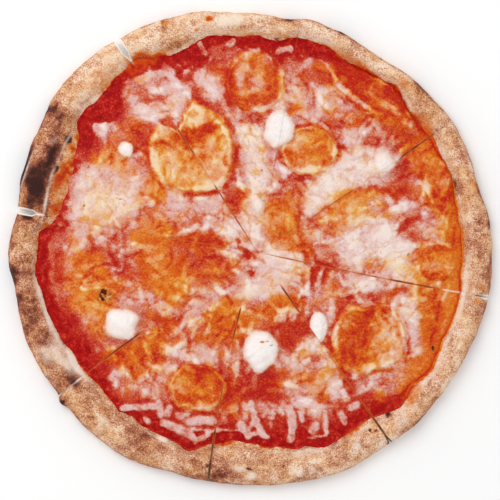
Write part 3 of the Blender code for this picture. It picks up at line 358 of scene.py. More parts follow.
# ---- Round slices of smoked cheese: (x, y, degrees and reach of points round the outline) ------------
ROUNDS = {
    "1": (-38.5, 62.0, [
        (0, 27.6), (25, 29.6), (48, 31.4), (67, 32.0), (80, 34.5), (87, 36.4), (95, 31), (108, 22.5),
        (119, 17.8), (128, 24), (136, 30.6), (146, 29.6), (160, 29.0), (184, 27.4), (205, 27.6),
        (224, 27.0), (245, 25.6), (267, 24.6), (285, 25.6), (299, 27.2), (315, 28.6), (330, 28.4)]),
    "2": (3.6, 111.5, [
        (0, 20.5), (40, 20), (90, 20.5), (140, 20), (180, 20), (220, 21.5), (270, 21), (310, 21.4)]),
    "3": (39.4, 65.0, [
        (0, 19), (45, 18.4), (90, 16.5), (135, 17.2), (180, 18.6), (225, 17.6), (270, 15.6), (315, 18)]),
    "4": (80.0, -60.5, [
        (0, 24.5), (25, 24.6), (50, 25.6), (75, 23.4), (100, 22.4), (125, 26.4), (150, 25.4), (170, 25),
        (195, 25.6), (215, 25), (235, 25.6), (255, 25), (280, 20.6), (305, 22.4), (330, 25)]),
    "5": (80.0, 101.5, [
        (-38, 37), (-10, 22), (15, 17), (45, 13.5), (80, 13), (110, 18), (128, 26), (142, 35),
        (156, 27), (180, 17), (215, 12.5), (250, 12), (280, 15), (305, 23)]),
    "6": (-34.0, -91.0, [
        (0, 19), (45, 16), (90, 14), (135, 17.5), (180, 19.5), (225, 19.6), (270, 17), (315, 18.6)]),
    "7": (20.6, 21.0, [
        (0, 12), (60, 11.4), (120, 11.6), (180, 11.8), (240, 11), (300, 12)]),
    "8": (65.6, 24.5, [
        (0, 14), (45, 16.4), (90, 14), (135, 12.6), (180, 13.6), (225, 15), (270, 14.6), (315, 13)]),
    "9": (124.6, -9.6, [
        (0, 13), (45, 12.6), (90, 12.4), (135, 12.6), (180, 12), (225, 13), (270, 12.6), (315, 13)]),
    "10": (123.4, 43.0, [
        (0, 10), (40, 12), (75, 17), (105, 22), (135, 16), (180, 9.4), (215, 9.4), (255, 14), (288, 22),
        (320, 14)]),
}
# The way that each lies: mm that its middle is below its edge, lip height, lift towards the rim in mm
# per mm and the direction of that lift; then how far cheese has run over it, how pale and how oily it
# is, and how plain its pale rim.
ROUND_FORMS = {
    "1": (0.5, 0.4, 0, 0, 0.0, 0.67, 1.05, 0.22), "2": (0.4, 0.3, 0, 0, 0.2, 0.37, 0.90, 0.18),
    "3": (0.5, 0.4, 0, 0, 0.1, 0.52, 1.05, 0.22), "4": (0.4, 0.4, 0, 0, 0.05, 0.42, 0.88, 0.13),
    "5": (0.9, 0.3, 0.05, 52, 0.05, 0.30, 0.80, 0.14), "6": (0.4, 0.3, 0, 0, 0.15, 0.38, 1.00, 0.16),
    "7": (0.3, 0.0, 0, 0, 0.3, 0.55, 1.0, 0.0), "8": (0.3, 0.0, 0, 0, 0.45, 0.55, 0.70, 0.0),
    "9": (0.2, 0.0, 0.03, -5, 0.3, 0.42, 0.90, 0.0), "10": (0.2, 0.1, 0.06, 20, 0.2, 0.36, 0.80, 0.06),
}
# Paint on them: (x, y, half length, half width, turn, strength).
ROUND_PALE = [
    (-37, 90, 6, 9, 20, 0.28), (-42, 84, 6, 5, 30, 0.3), (-58, 78, 5, 6, 30, 0.2),
    (-52, 64, 13, 8, 20, 0.05), (-30, 46, 12, 6, 10, 0.2), (-18, 72, 2.6, 14, 5, 0.3),
    (-22, 88, 5, 4, -40, 0.2), (-62, 56, 2.6, 10, 20, 0.3), (-46, 46, 12, 4, -20, 0.12),
    (-5, 114, 4, 12, 0, 0.65), (5, 112, 3, 8, 0, 0.45), (4, 126, 9, 3, -20, 0.4),
    (21, 110, 2.6, 11, 5, 0.5), (17, 98, 5, 4, 40, 0.3), (10, 112, 7, 6, 0, 0.15),
    (8, 92, 7, 2, 10, 0.4), (42, 52, 14, 2.2, 8, 0.55), (56, 62, 2.2, 12, -10, 0.5),
    (44, 74, 6, 3, -20, 0.25), (26, 56, 5, 3, -40, 0.3), (32, 68, 7, 5, 20, 0.1),
    (60, -46, 2.6, 5, 30, 0.35), (56.6, -58, 2.2, 8, 0, 0.4), (72, -39, 8, 2, 10, 0.4),
    (94, -52, 4, 9, 20, 0.2), (101, -58, 2.4, 12, 0, 0.45), (92, -74, 9, 4, 30, 0.35),
    (78, -79, 6, 3.4, 0, 0.35), (87, -62, 10, 9, 20, 0.2), (96, -42, 2, 6, -20, 0.4),
    (84, -48, 5, 3, 0, 0.2), (68, -52, 5, 3, 0, 0.15), (65, 102, 9, 2.4, -38, 0.5),
    (75, 97, 5, 2.4, -35, 0.45), (56, 113, 7, 1.8, -50, 0.4), (97, 87, 11, 2, -24, 0.35),
    (89, 95, 10, 2, -35, 0.25), (-48, -92, 3, 9, 10, 0.3), (-35, -104, 14, 2.4, -3, 0.45),
    (-26, -86, 6, 4, 0, 0.2), (-40, -88, 6, 5, 0, 0.12), (-30, -97, 9, 3, 0, 0.2),
    (-20, -104, 3, 3, 0, 0.3), (68, 25, 6, 8, 0, 0.4), (67, 17, 5, 4, 0, 0.45), (57, 26, 3, 5, 0, 0.25),
    (127, -12, 9, 6, 10, 0.25), (122, -3, 8, 4, 0, 0.15), (131, -18, 5, 4, 0, 0.15),
    (118, 40, 2, 10, 25, 0.6), (124, 56, 6, 4, -20, 0.2), (128, 45, 4, 6, 0, 0.25),
    (121, 24, 4, 3, 0, 0.3), (28, 17, 3, 4, 0, 0.25), (12, 20, 3, 5, 0, 0.15),
]
ROUND_RED = [
    (-14, 112, 3, 12, 0, 0.9), (-36, 76, 13, 5.5, 12, 1.2), (-24, 81, 8, 4.6, -10, 0.9),
    (-41, 70, 4, 4, 40, 0.6), (-59, 71, 3.4, 5, 0, 0.9), (-64, 68, 3, 2.6, 0, 0.7),
    (-18, 57, 3, 4, 0, 0.45), (-46, 39.6, 9, 1.4, -12, 0.35), (-36, 63, 3, 2, -30, 0.4),
    (2, 123, 3, 5, 30, 0.7), (14, 114, 5, 6, 0, 0.5), (0, 98, 14, 6, 5, 0.65), (6, 106, 6, 4, 0, 0.5),
    (-8, 104, 6, 6, 0, 0.5), (15, 121, 5, 5, 0, 0.5), (18, 100, 3, 4, 0, 0.3), (38, 79, 9, 3, 8, 0.5),
    (51, 71, 3, 8, 0, 0.5), (37, 55, 8, 2.4, 5, 0.55), (26, 62, 4, 4, 0, 0.3),
    (67, -43, 7, 3, 10, 0.48), (80, -42, 6, 3, 0, 0.6), (91, -44, 2.4, 6, 0, 0.55),
    (74, -50, 6, 5, 0, 0.35), (79, -57, 5, 5, 30, 0.5), (66, -57, 5, 5, 0, 0.5),
    (75, -65, 7, 5, 20, 0.45), (62, -66, 5, 4, 0, 0.4), (70, -73, 8, 3, 0, 0.4),
    (88, -62, 3, 5, 0, 0.4), (95, -68, 3, 4, 0, 0.3), (68, 116, 11, 5.5, -20, 0.65),
    (60, 121, 6, 4, -45, 0.55), (82, 106, 14, 6, -36, 0.2), (100, 97, 7, 6, -60, 0.65),
    (96, 106, 5, 4, -30, 0.8), (80, 98, 9, 3, -36, 0.4), (104, 92, 4, 4, 0, 0.5),
    (90, 90, 12, 2, -30, 0.3), (-38, -84, 12, 4, 0, 0.5), (-30, -79, 8, 3, 0, 0.6),
    (-20, -92, 3, 9, 0, 0.5), (-44, -99, 6, 3, -20, 0.6), (-30, -100, 9, 2, 0, 0.35),
    (18, 29, 8, 2.6, 15, 0.4), (74, 37, 6, 3, 10, 0.5), (59, 16, 3, 5, 0, 0.3), (117, -4, 5, 5, 0, 0.5),
    (119, -18, 7, 4, 0, 0.6), (131, -21, 6, 3, 0, 0.4), (128, 2, 8, 3, 0, 0.4), (132, 35, 4, 3, 0, 0.9),
    (124, 27, 4, 4, 30, 0.9), (124, 38, 3, 3, 0, 0.6), (114, 48, 3, 6, 0, 0.6), (130, 52, 3, 6, 0, 0.5),
    (119, 33, 3, 5, 20, 0.4),
]
# ---- White dollops -----------------------------------------------------------------------------------
# (x, y, half width, half depth, height, how square, how pointed at the front, tilt, how melted).
DOLLOPS = {
    "1": (19.4, 79.8, 10.6, 12.4, 5.2, 1.9, 0.06, 0, 0.35),
    "2": (-82.4, 66.0, 6.0, 5.8, 3.2, 2.2, 0.0, 0, 0.6),
    "3": (88.6, 58.0, 9.4, 9.0, 3.2, 2.6, 0.0, 20, 0.95),
    "4": (-85.0, -49.7, 11.4, 10.6, 5.8, 3.0, 0.0, -8, 0.4),
    "5": (7.7, -67.2, 11.4, 12.0, 6.0, 2.0, 0.32, 0, 0.1),
    "6": (45.6, -51.7, 6.2, 10.8, 4.6, 2.0, 0.1, 0, 0.3),
    "7": (5.4, 29.4, 4.4, 7.4, 2.8, 2.0, 0.0, 0, 1.3),
}
# Oily specks on them: (x, y, half length, half width, turn, strength).
SPECKS = [
    (8.2, -62.0, 1.6, 0.8, 0, 1.0), (12, -61.6, 1.6, 0.6, 0, 0.7), (14.6, -64.2, 2.0, 0.7, 10, 0.7),
    (89, 50.5, 3.5, 1.2, 10, 0.5), (84, 53, 2, 1, 0, 0.4),
]
# (name, slice that it lies in, a point inside that part): each piece of a topping is drawn from that
# point.
ROUND_PIECES = [
    ("1", "round_1a", 3, (-50.0, 58.0)), ("1", "round_1b", 2, (-28.0, 66.0)),
    ("2", "round_2", 2, (3.6, 111.5)), ("3", "round_3", 1, (39.4, 65.0)),
    ("4", "round_4", 7, (80.0, -60.5)), ("5", "round_5", 1, (80.0, 101.5)),
    ("6", "round_6a", 5, (-36.0, -91.0)), ("6", "round_6b", 6, (-16.6, -92.5)),
    ("7", "round_7", 1, (20.0, 22.0)), ("8", "round_8", 8, (65.6, 24.5)),
    ("9", "round_9", 8, (124.6, -9.6)), ("10", "round_10", 8, (123.4, 43.0)),
]
DOLLOP_PIECES = [
    ("1", "dollop_1a", 2, (15.0, 81.5)), ("1", "dollop_1b", 1, (25.0, 80.0)),
    ("2", "dollop_2", 3, (-81.8, 66.0)), ("3", "dollop_3a", 1, (88.6, 60.6)),
    ("3", "dollop_3b", 8, (91.0, 52.2)), ("4", "dollop_4", 4, (-85.0, -49.7)),
    ("5", "dollop_5", 6, (7.7, -67.5)), ("6", "dollop_6", 7, (46.0, -51.7)),
    ("7", "dollop_7", 2, (4.6, 29.4)),
]

# ---- The rim's baking: (degrees, radius, half length along it, half width across it, strength) -------
SCORCHES = [
    (161, 146.5, 17, 7.0, 0.52), (165, 147.5, 10, 5.5, 0.24), (154, 143.5, 9, 4.0, 0.34),
    (162, 158.8, 19, 2.0, 0.4), (145, 156, 7, 6, 0.3), (144, 161, 6, 2.5, 0.3), (148, 150, 5, 4, 0.15),
    (148.5, 139.5, 2, 2.2, 0.7), (157, 138.3, 1.2, 1.6, 0.5), (186, 158, 5, 3, 0.45),
    (184, 160, 3, 1.6, 0.3), (171.8, 148, 2.4, 4, 0.35), (196, 149.5, 12, 5, 0.15),
    (193, 156, 6, 3, 0.15), (203.5, 150, 5, 5, 0.15), (216, 147.5, 6, 6, 0.24),
    (217.2, 148, 1.6, 5, 0.08), (214, 142, 6, 2.5, 0.15), (219.4, 162.4, 1.8, 1.8, 0.6),
    (228.6, 154, 1.0, 3, 0.25), (238.5, 145, 7, 4, 0.2), (241, 141, 5, 3, 0.15), (262, 150, 5, 4, 0.26),
    (261.5, 149.5, 2.4, 3, 0.15), (257, 147, 4, 4, 0.12), (259.3, 146, 1.2, 1.2, 0.6),
    (270.1, 146, 1.4, 0.7, 0.7), (303.4, 144.6, 0.9, 1.0, 0.8), (304.7, 146.8, 0.8, 0.9, 0.8),
    (305.4, 159, 1.2, 2, 0.4), (310, 143.4, 1.8, 1.3, 0.9), (331.5, 139.6, 1.4, 1.8, 0.45),
    (314, 160, 5, 1.6, 0.2), (345, 160.6, 8, 1.6, 0.15), (6, 160.4, 2.6, 1.4, 0.5),
    (17, 142, 3, 2.4, 0.4), (44, 156, 6, 1.6, 0.2), (55.6, 153.2, 0.9, 0.9, 0.6),
    (66.6, 154.6, 3, 1.6, 0.4), (70.5, 156.4, 2, 1, 0.35), (80, 153.8, 2, 1.6, 0.5),
    (82, 153.6, 5, 1.2, 0.2), (82.5, 141.6, 1, 1.2, 0.4), (111, 144.5, 12, 3.6, 0.27),
    (108, 146, 5, 3, 0.1), (110.5, 160, 1.2, 2.4, 0.3), (120, 146, 1, 2, 0.3),
]
# The baking of whole stretches of the rim: (degrees, strength).
BAKED = [
    (0, 0.34), (30, 0.33), (60, 0.28), (80, 0.21), (100, 0.10), (115, 0.12), (130, 0.17), (140, 0.22),
    (147, 0.36), (157, 0.43), (170, 0.46), (185, 0.42), (200, 0.42), (210, 0.38), (217, 0.39),
    (228, 0.34), (240, 0.36), (255, 0.36), (262, 0.38), (275, 0.32), (290, 0.29), (310, 0.26),
    (330, 0.24), (345, 0.28),
]
# Pale floury places, and a thin painted highlight line along the outer edge near 153 to 161 degrees.
FLOURY_AND_HIGHLIGHT = [
    (196, 141.6, 18, 1.6, 0.55), (214, 138.6, 11, 2.2, 0.6), (213.5, 142, 6, 3.5, 0.45),
    (95, 151, 11, 4, 0.6), (101, 157, 8, 2.4, 0.3), (130, 143, 9, 4, 0.2), (134, 151, 9, 5, 0.2),
    (138, 144, 9, 4, 0.25), (124, 146, 4, 6, 0.2), (207.6, 152, 7, 4, 0.5), (209, 145, 10, 3.4, 0.5),
    (202, 140, 12, 1.4, 0.4), (190, 143.6, 10, 1.6, 0.35), (212, 138, 9, 1.6, 0.4),
    (229.6, 150, 6, 3.6, 0.5), (230.4, 157, 3, 3, 0.35), (245.6, 139, 4, 2, 0.7),
    (267.4, 146, 4, 2.4, 0.6), (270.6, 150.6, 3.6, 3, 0.7), (282.6, 152.6, 2.8, 2.6, 0.7),
    (286, 152.8, 2.6, 2.4, 0.6), (285, 141, 16, 2, 0.45), (298.4, 149, 3.6, 3.2, 0.6),
    (302, 142, 6, 3, 0.35), (311, 153, 6, 4, 0.45), (316, 151, 5, 4, 0.3), (321, 143, 8, 5, 0.4),
    (328, 147, 8, 4, 0.3), (338, 144, 12, 2.6, 0.4), (330.6, 141, 2, 1.6, 0.8), (347, 146, 7, 4, 0.35),
    (355, 145, 12, 2.4, 0.4), (8, 144, 8, 1.6, 0.35), (26, 144, 9, 3, 0.35), (34, 147, 6, 5, 0.25),
    (41, 147, 7, 4, 0.2), (48, 141, 8, 4, 0.45), (44, 148, 5, 4, 0.15), (70, 148, 8, 4, 0.25),
    (82, 147, 9, 3, 0.35), (156, 139.6, 14, 1.0, 0.25), (151, 148, 4, 3, 0.3),
    # The last two marks on the next line lie on the outer edge and paint a highlight line there.
    (168, 138.4, 12, 1.0, 0.45), (153, 162, 12, 1.0, 0.3), (161, 156.4, 15, 0.7, 0.6),
    (75, 152, 6, 4, 0.25),
]
# Orange oil and sauce that ran onto the rim.
OILY_RIM = [
    (148, 134, 6, 4, 0.3), (175, 135, 5, 4, 0.3), (120, 145, 6, 5, 0.9), (116, 141, 8, 3, 0.8),
    (124, 141, 6, 3, 0.5), (100, 154.5, 3, 2, 0.9), (103.6, 149, 2.4, 1.8, 0.5),
    (110.6, 159.6, 3, 2.4, 0.6), (47, 149, 4, 3, 0.22), (63, 142.6, 18, 2.2, 0.5),
    (55, 141.4, 9, 1.5, 0.6), (160, 131, 14, 6, 0.35), (36, 144, 5, 3, 0.4), (38, 141, 5, 2, 0.6),
    (33, 142, 4, 4, 0.5), (15.5, 156, 3, 2, 0.4), (0, 142, 20, 1.6, 0.5), (347, 155, 3, 3, 0.5),
    (350.6, 156, 3, 3, 0.5), (346, 142, 10, 1.6, 0.5), (332, 139, 12, 2.4, 0.6), (319, 144, 7, 5, 0.55),
    (316, 148, 4, 3, 0.4), (324, 142, 5, 3, 0.5), (311, 140, 6, 3, 0.5), (299, 139, 9, 3, 0.7),
    (290, 153, 2.6, 2, 0.4), (273, 134, 10, 3, 0.2), (264, 132, 12, 3, 0.2), (256, 136, 8, 3, 0.3),
    (227, 136, 9, 1.2, 0.5), (216, 137, 7, 1.2, 0.5), (305.8, 146, 2.4, 10, 0.35),
    (90, 142, 18, 1.6, 0.4), (80, 142, 4, 2, 0.5), (131, 143, 8, 2, 0.3), (178, 140, 6, 2, 0.4),
    (123, 150, 2, 4, 0.3), (14, 150, 22, 8, 0.3), (44, 149, 20, 8, 0.3), (132, 150, 16, 8, 0.42),
    (165, 148, 22, 8, 0.3), (226, 150, 24, 8, 0.26),
]


def eased(points, degrees):
    """Value at each angle of a ring of (degrees, value) points, joined by half cosine waves."""
    knots = np.array([p[0] for p in points] + [points[0][0] + 360.0])
    values = np.array([p[1] for p in points] + [points[0][1]])
    wrapped = (np.asarray(degrees, float) - knots[0]) % 360.0 + knots[0]
    index = np.clip(np.searchsorted(knots, wrapped, side="right") - 1, 0, len(points) - 1)
    share = (wrapped - knots[index]) / (knots[index + 1] - knots[index])
    blend = 0.5 - 0.5 * np.cos(math.pi * share)
    return values[index] + (values[index + 1] - values[index]) * blend


def turn_between(degrees, centre):
    """Angle from a centre angle, from -180 to 180."""
    return (np.asarray(degrees, float) - centre + 180.0) % 360.0 - 180.0


def bell(offset, half_width):
    """1 in the middle, falling to both sides as exp(-(offset / half_width)^2)."""
    return np.exp(-((offset / half_width) ** 2))


def ramped(value, low, high):
    """0 below low, 1 above high and s*s*(3 - 2*s) between them."""
    share = np.clip((value - low) / (high - low), 0.0, 1.0)
    return share * share * (3.0 - 2.0 * share)


def hills(x, y, size, seed):
    """Smooth random hills from -1 to 1, about `size` mm across: random heights on a square net, blended
    across each of its squares by s*s*(3 - 2*s) both ways."""
    net = np.random.default_rng(seed).uniform(-1.0, 1.0, (NET_SIZE, NET_SIZE))
    px, py = np.asarray(x) / size + NET_SHIFT[0], np.asarray(y) / size + NET_SHIFT[1]
    column, row = np.floor(px).astype(int), np.floor(py).astype(int)
    sx, sy = px - column, py - row
    sx, sy = sx * sx * (3 - 2 * sx), sy * sy * (3 - 2 * sy)
    left, right = column % NET_SIZE, (column + 1) % NET_SIZE
    low, high = row % NET_SIZE, (row + 1) % NET_SIZE
    below = net[low, left] + (net[low, right] - net[low, left]) * sx
    above = net[high, left] + (net[high, right] - net[high, left]) * sx
    return below + (above - below) * sy


def clouds(x, y, size, seed, layers=4):
    """Hills upon hills: each layer is half as wide and LAYER_FADE times as high as the one before.
    Together they seldom reach their limits, so they are stretched by CLOUD_STRETCH."""
    total, height, reach = 0.0, 1.0, 0.0
    for layer in range(layers):
        total = total + height * hills(x, y, size / 2**layer, seed + layer)
        reach += height
        height *= LAYER_FADE
    return total / reach * CLOUD_STRETCH


def stirred(x, y, reach, size, seed):
    """Places pushed about by up to `reach` mm in random swirls, so that what is drawn at them has
    ragged edges."""
    return x + reach * clouds(x, y, size, seed, 3), y + reach * clouds(x, y, size, seed + 50, 3)


def turned(dx, dy, degrees):
    """Offsets along and across a line at an angle."""
    cosine, sine = math.cos(math.radians(degrees)), math.sin(math.radians(degrees))
    return dx * cosine + dy * sine, dy * cosine - dx * sine


def ovals(x, y, marks, sharpness=5.0):
    """Sum of soft ovals: each adds strength / (1 + d^sharpness), where d is 1 on the oval's outline."""
    total = np.zeros(np.shape(x))
    for cx, cy, half_length, half_width, turn, strength in marks:
        along, across = turned(x - cx, y - cy, turn)
        distance = np.hypot(along / half_length, across / half_width)
        total += strength / (1.0 + distance**sharpness)
    return total


def rim_marks(x, y, marks, sharpness=4.0):
    """Soft ovals laid along the rim: each is given by its angle and radius and lies along the circle
    there."""
    placed = [
        (r * math.cos(math.radians(a)), r * math.sin(math.radians(a)), along, across, a + 90.0, strength)
        for a, r, along, across, strength in marks
    ]
    return ovals(x, y, placed, sharpness)


# ---- The outline of each layer -----------------------------------------------------------------------
def polar(x, y):
    """Radius and angle in degrees of places, about the middle."""
    return np.hypot(x, y), np.degrees(np.arctan2(y, x))


def circle(radius, degrees):
    """x and y at angles round a circle about the middle."""
    return radius * np.cos(np.radians(degrees)), radius * np.sin(np.radians(degrees))


def rim_outside(degrees):
    """Radius of the dough's outer edge, with the torn scrap and a finely ragged edge."""
    flap_angle, flap_reach, flap_width = TORN_FLAP
    ragged = 0.45 * clouds(*circle(OUTER_RADIUS, degrees), 9.0, 310, 3)
    swell = OUTER_RADIUS + eased(OUTER_SWELLS, degrees) + ragged
    return swell + flap_reach * bell(turn_between(degrees, flap_angle), flap_width)


def rim_inside(degrees):
    """Radius where the rim meets the topping, finely ragged."""
    ragged = 1.05 * clouds(*circle(INNER_RADIUS, degrees), 8.0, 320, 4)
    return INNER_RADIUS + eased(INNER_SWELLS, degrees) + ragged


def sauce_outside(degrees):
    """Radius of the edge of the sauce, ragged where it stops short of the rim."""
    margin = eased(SAUCE_MARGINS, degrees)
    ragged = 0.5 * clouds(*circle(INNER_RADIUS - 10.0, degrees), 7.0, 330, 3)
    return rim_inside(degrees) - margin + np.minimum(margin, 2.0) * ragged


def rim_foot(degrees):
    """Radius where the dough starts to rise into the rim."""
    return rim_inside(degrees) - RIM_FOOT - eased(SAUCE_MARGINS, degrees)


def dough_height(x, y):
    """Height of the dough's upper face. From its foot the rim rises as sin(90 t)^1.3, t running from 0
    at the foot to 1 at the crest; beyond the crest it falls as sqrt(1 - s^2.6) to the waist. Bubbles
    and blisters are bells on it."""
    radius, degrees = polar(x, y)
    outside, inside, foot = rim_outside(degrees), rim_inside(degrees), rim_foot(degrees)
    crest_radius = inside + RIM_CREST * (outside - inside)
    climb = np.clip((radius - foot) / (crest_radius - foot), 0.0, 1.0)
    fall = np.clip((radius - crest_radius) / (outside - crest_radius), 0.0, 1.0)
    crest = RIM_HEIGHT + sum(high * bell(turn_between(degrees, at), wide) for at, high, wide in RIM_BUBBLES)
    inner = DOUGH_TOP + (crest - DOUGH_TOP) * np.sin(0.5 * math.pi * climb) ** 1.3
    outer = WAIST + (crest - WAIST) * np.sqrt(1.0 - fall**2.6)
    surface = np.where(radius < crest_radius, inner, outer)
    on_rim = ramped(radius, foot, foot + 5.0) * (1.0 - ramped(fall, 0.9, 1.0))
    blisters = rim_marks(x, y, [(a, r, wide, wide, high) for a, r, wide, high in RIM_BLISTERS], 3.0)
    pitted = 0.45 * clouds(x, y, 7.0, 340, 4) + 0.16 * clouds(x, y, 1.9, 350, 2)
    pitted = pitted + 0.5 * clouds(x, y, 18.0, 360, 2)
    return surface + on_rim * (blisters + pitted)


# ---- Painted fields ----------------------------------------------------------------------------------
def field_places():
    """x and y at every point of the square net that the fields are painted on."""
    line = np.arange(-FIELD_REACH, FIELD_REACH + GRAIN, GRAIN)
    return np.meshgrid(line, line)


def lookup(field, x, y):
    """The field's value at places between its net's points, blended from the nearest four."""
    px = np.clip((np.asarray(x) + FIELD_REACH) / GRAIN, 0, field.shape[1] - 1.001)
    py = np.clip((np.asarray(y) + FIELD_REACH) / GRAIN, 0, field.shape[0] - 1.001)
    column, row = px.astype(int), py.astype(int)
    sx, sy = px - column, py - row
    below = field[row, column] * (1 - sx) + field[row, column + 1] * sx
    above = field[row + 1, column] * (1 - sx) + field[row + 1, column + 1] * sx
    return below * (1 - sy) + above * sy


def lay_strand(field, strand, strength, softness=0.8):
    """Adds one bent strand to the field. Its strength falls off over `softness` mm at its edge, and its
    middle line is the chord pushed sideways by bend * (1 - t^2), t running from -1 to 1."""
    x, y, degrees, length, width, bend = strand
    half = 0.5 * length + width + abs(bend) + 2 * softness
    first_column, last_column = (int((x + side * half + FIELD_REACH) / GRAIN) for side in (-1, 1))
    first_row, last_row = (int((y + side * half + FIELD_REACH) / GRAIN) for side in (-1, 1))
    window = (slice(max(first_row, 0), last_row + 1), slice(max(first_column, 0), last_column + 1))
    rows, columns = np.mgrid[window]
    dx, dy = columns * GRAIN - FIELD_REACH - x, rows * GRAIN - FIELD_REACH - y
    along, across = turned(dx, dy, degrees)
    share = np.clip(along / (0.5 * length), -1.0, 1.0)
    over = np.maximum(np.abs(along) - 0.5 * length + 0.5 * width, 0.0)
    distance = np.hypot(over, across - bend * (1 - share**2))
    inside = 1.0 - ramped(distance, 0.5 * width - softness, 0.5 * width + softness)
    patch = field[window]
    field[window] = patch + strength * inside[: patch.shape[0], : patch.shape[1]]


def shred_field():
    """Melted shreds and the gaps between them, lying in all directions that turn slowly from place to
    place."""
    field = np.zeros(field_places()[0].shape)
    draw = np.random.default_rng(SHRED_SEED)
    for count, lengths, widths, strength, softness in MELTED_SHREDS:
        for _ in range(count):
            x, y = draw.uniform(-140, 140, 2)
            lean = 90 * hills(x, y, 30.0, 400) + draw.normal(0, 35)
            strand = (x, y, lean, draw.uniform(*lengths), draw.uniform(*widths), draw.uniform(-1.5, 1.5))
            lay_strand(field, strand, strength * draw.uniform(0.5, 1.3), softness)
    return field


def outline_share(name, x, y):
    """Distance from a round slice's middle as a share of its reach in that direction."""
    cx, cy, points = ROUNDS[name]
    degrees = np.degrees(np.arctan2(y - cy, x - cx))
    ordered = sorted((at % 360.0, reach) for at, reach in points)
    return np.hypot(x - cx, y - cy) / eased(ordered, degrees)


def melted_field():
    """Depth added by the strands and tears that melted in."""
    field = np.zeros(field_places()[0].shape)
    for *strand, strength in MELTED_STRANDS:
        lay_strand(field, strand, strength, 1.0)
    return field


def spread_cheese(x, y, swirled, drifted, melted):
    """Depth and oil of the grated cheese as it melted over the whole topping, thinner towards its edge,
    and the radius of that edge. `swirled` and `drifted` are the places after being stirred."""
    radius, degrees = polar(x, y)
    depth = 0.50 + eased(CHEESE_SPREAD, degrees) + 0.78 * ovals(*swirled, POOLS)
    depth = np.clip(depth + 0.66 * ovals(*swirled, BARE_PLACES), 0.14, 0.89)
    margin = eased(CHEESE_MARGINS, degrees)
    edge = rim_inside(degrees) - margin + np.clip(margin, 0.0, 7.0) * clouds(x, y, 10.0, 470, 4)
    shreds = shred_field() * (1.0 - 0.8 * ramped(radius, edge - 18.0, edge - 6.0))
    shreds = shreds * (1.0 - 0.6 * ramped(depth, 0.55, 0.85))
    depth += 0.08 * clouds(*drifted, 8.0, 440, 4) + shreds
    oil = 0.21 + ovals(*swirled, OILY_PLACES) + 0.26 * clouds(*drifted, 9.0, 460, 4)
    thinning = ramped(radius, edge - 14.0, edge) * ramped(margin, 4.0, 9.0)
    oil -= 0.6 * thinning
    depth -= 0.12 * thinning
    depth += lookup(melted, *stirred(x, y, 0.8, 4.0, 435))
    veins = bell(clouds(*drifted, 12.0, 455, 3), 0.10)
    depth -= 0.14 * veins * ramped(depth, 0.2, 0.6)
    oil += 0.25 * veins
    return depth, oil, edge


def paint_rounds(x, y, swirled, drifted, melted, depth, oil):
    """Paints the round slices into depth and oil, each with its marbling, its pale ring and a moat of
    thin, oily cheese round it that is partly a painted shadow line under its edge. Returns how far the
    cheese banks up to them and where they lie."""
    pale = ovals(*swirled, ROUND_PALE)
    marbling = 0.20 * clouds(*drifted, 8.0, 466, 2) + 0.24 * clouds(*drifted, 3.2, 467, 3) + 0.5 * melted
    marbling = marbling + 0.8 * pale - 0.42 * ovals(*swirled, ROUND_RED)
    oil_drops = 0.3 * clouds(*drifted, 5.0, 468, 3)
    ring_breaks = np.clip(0.6 + 0.9 * hills(x, y, 7.0, 468), 0.0, 1.2)
    moat_shadow_breaks = 0.8 + 0.7 * hills(x, y, 9.0, 469)
    ragged = stirred(x, y, 0.7, 4.0, 465)
    bank, covered = np.zeros(x.shape), np.zeros(x.shape)
    for name, (_, _, _, _, veil, tone, oiliness, rim) in ROUND_FORMS.items():
        share = outline_share(name, *ragged)
        own = (1.0 - ramped(share, 0.95, 1.03)) * (1.0 - veil)
        ring = bell(share - 0.91, 0.05) * ring_breaks
        depth += own * (tone + marbling + 2.0 * rim * ring - depth)
        oil += own * (oiliness - rim * ring - 0.3 * pale + oil_drops - oil)
        # Ring just outside each slice, redder and oilier: thin cheese, and partly a painted shadow under
        # its edge.
        moat_shadow = bell(share - 1.06, 0.05) * moat_shadow_breaks * max(1.0 - 3.0 * veil, 0.0)
        depth -= 0.22 * moat_shadow
        oil += 0.25 * moat_shadow
        bank = np.maximum(bank, (1.0 - 0.5 * veil) * (1.0 - ramped(share, 1.0, 1.28)))
        covered = np.maximum(covered, 1.0 - ramped(share, 0.98, 1.04))
    return bank, covered


def paint_strands(x, y, depth):
    """Depth with the strands that kept their shape, each in a hollow of thinner cheese, and where they
    stand."""
    standing, hollow = np.zeros(x.shape), np.zeros(x.shape)
    for strand in STRANDS:
        lay_strand(standing, strand, 1.0, 1.0)
        lay_strand(hollow, (*strand[:3], strand[3] + 3.4, strand[4] + 3.4, strand[5]), 1.0, 1.2)
    ragged = stirred(x, y, 0.6, 4.0, 475)
    standing, hollow = (lookup(np.clip(field, 0.0, 1.0), *ragged) for field in (standing, hollow))
    depth = depth - 0.20 * np.clip(hollow - standing, 0.0, 1.0) * ramped(depth, 0.0, 0.5)
    standing = standing * np.clip(0.95 + 0.25 * clouds(x, y, 5.0, 485, 3), 0.0, 1.0)
    streaks = 0.72 - 0.10 * ramped(y, 80.0, 120.0) + 0.15 * clouds(x, y, 3.0, 480, 3)
    return np.maximum(depth, streaks * standing + depth * (1 - standing)), standing


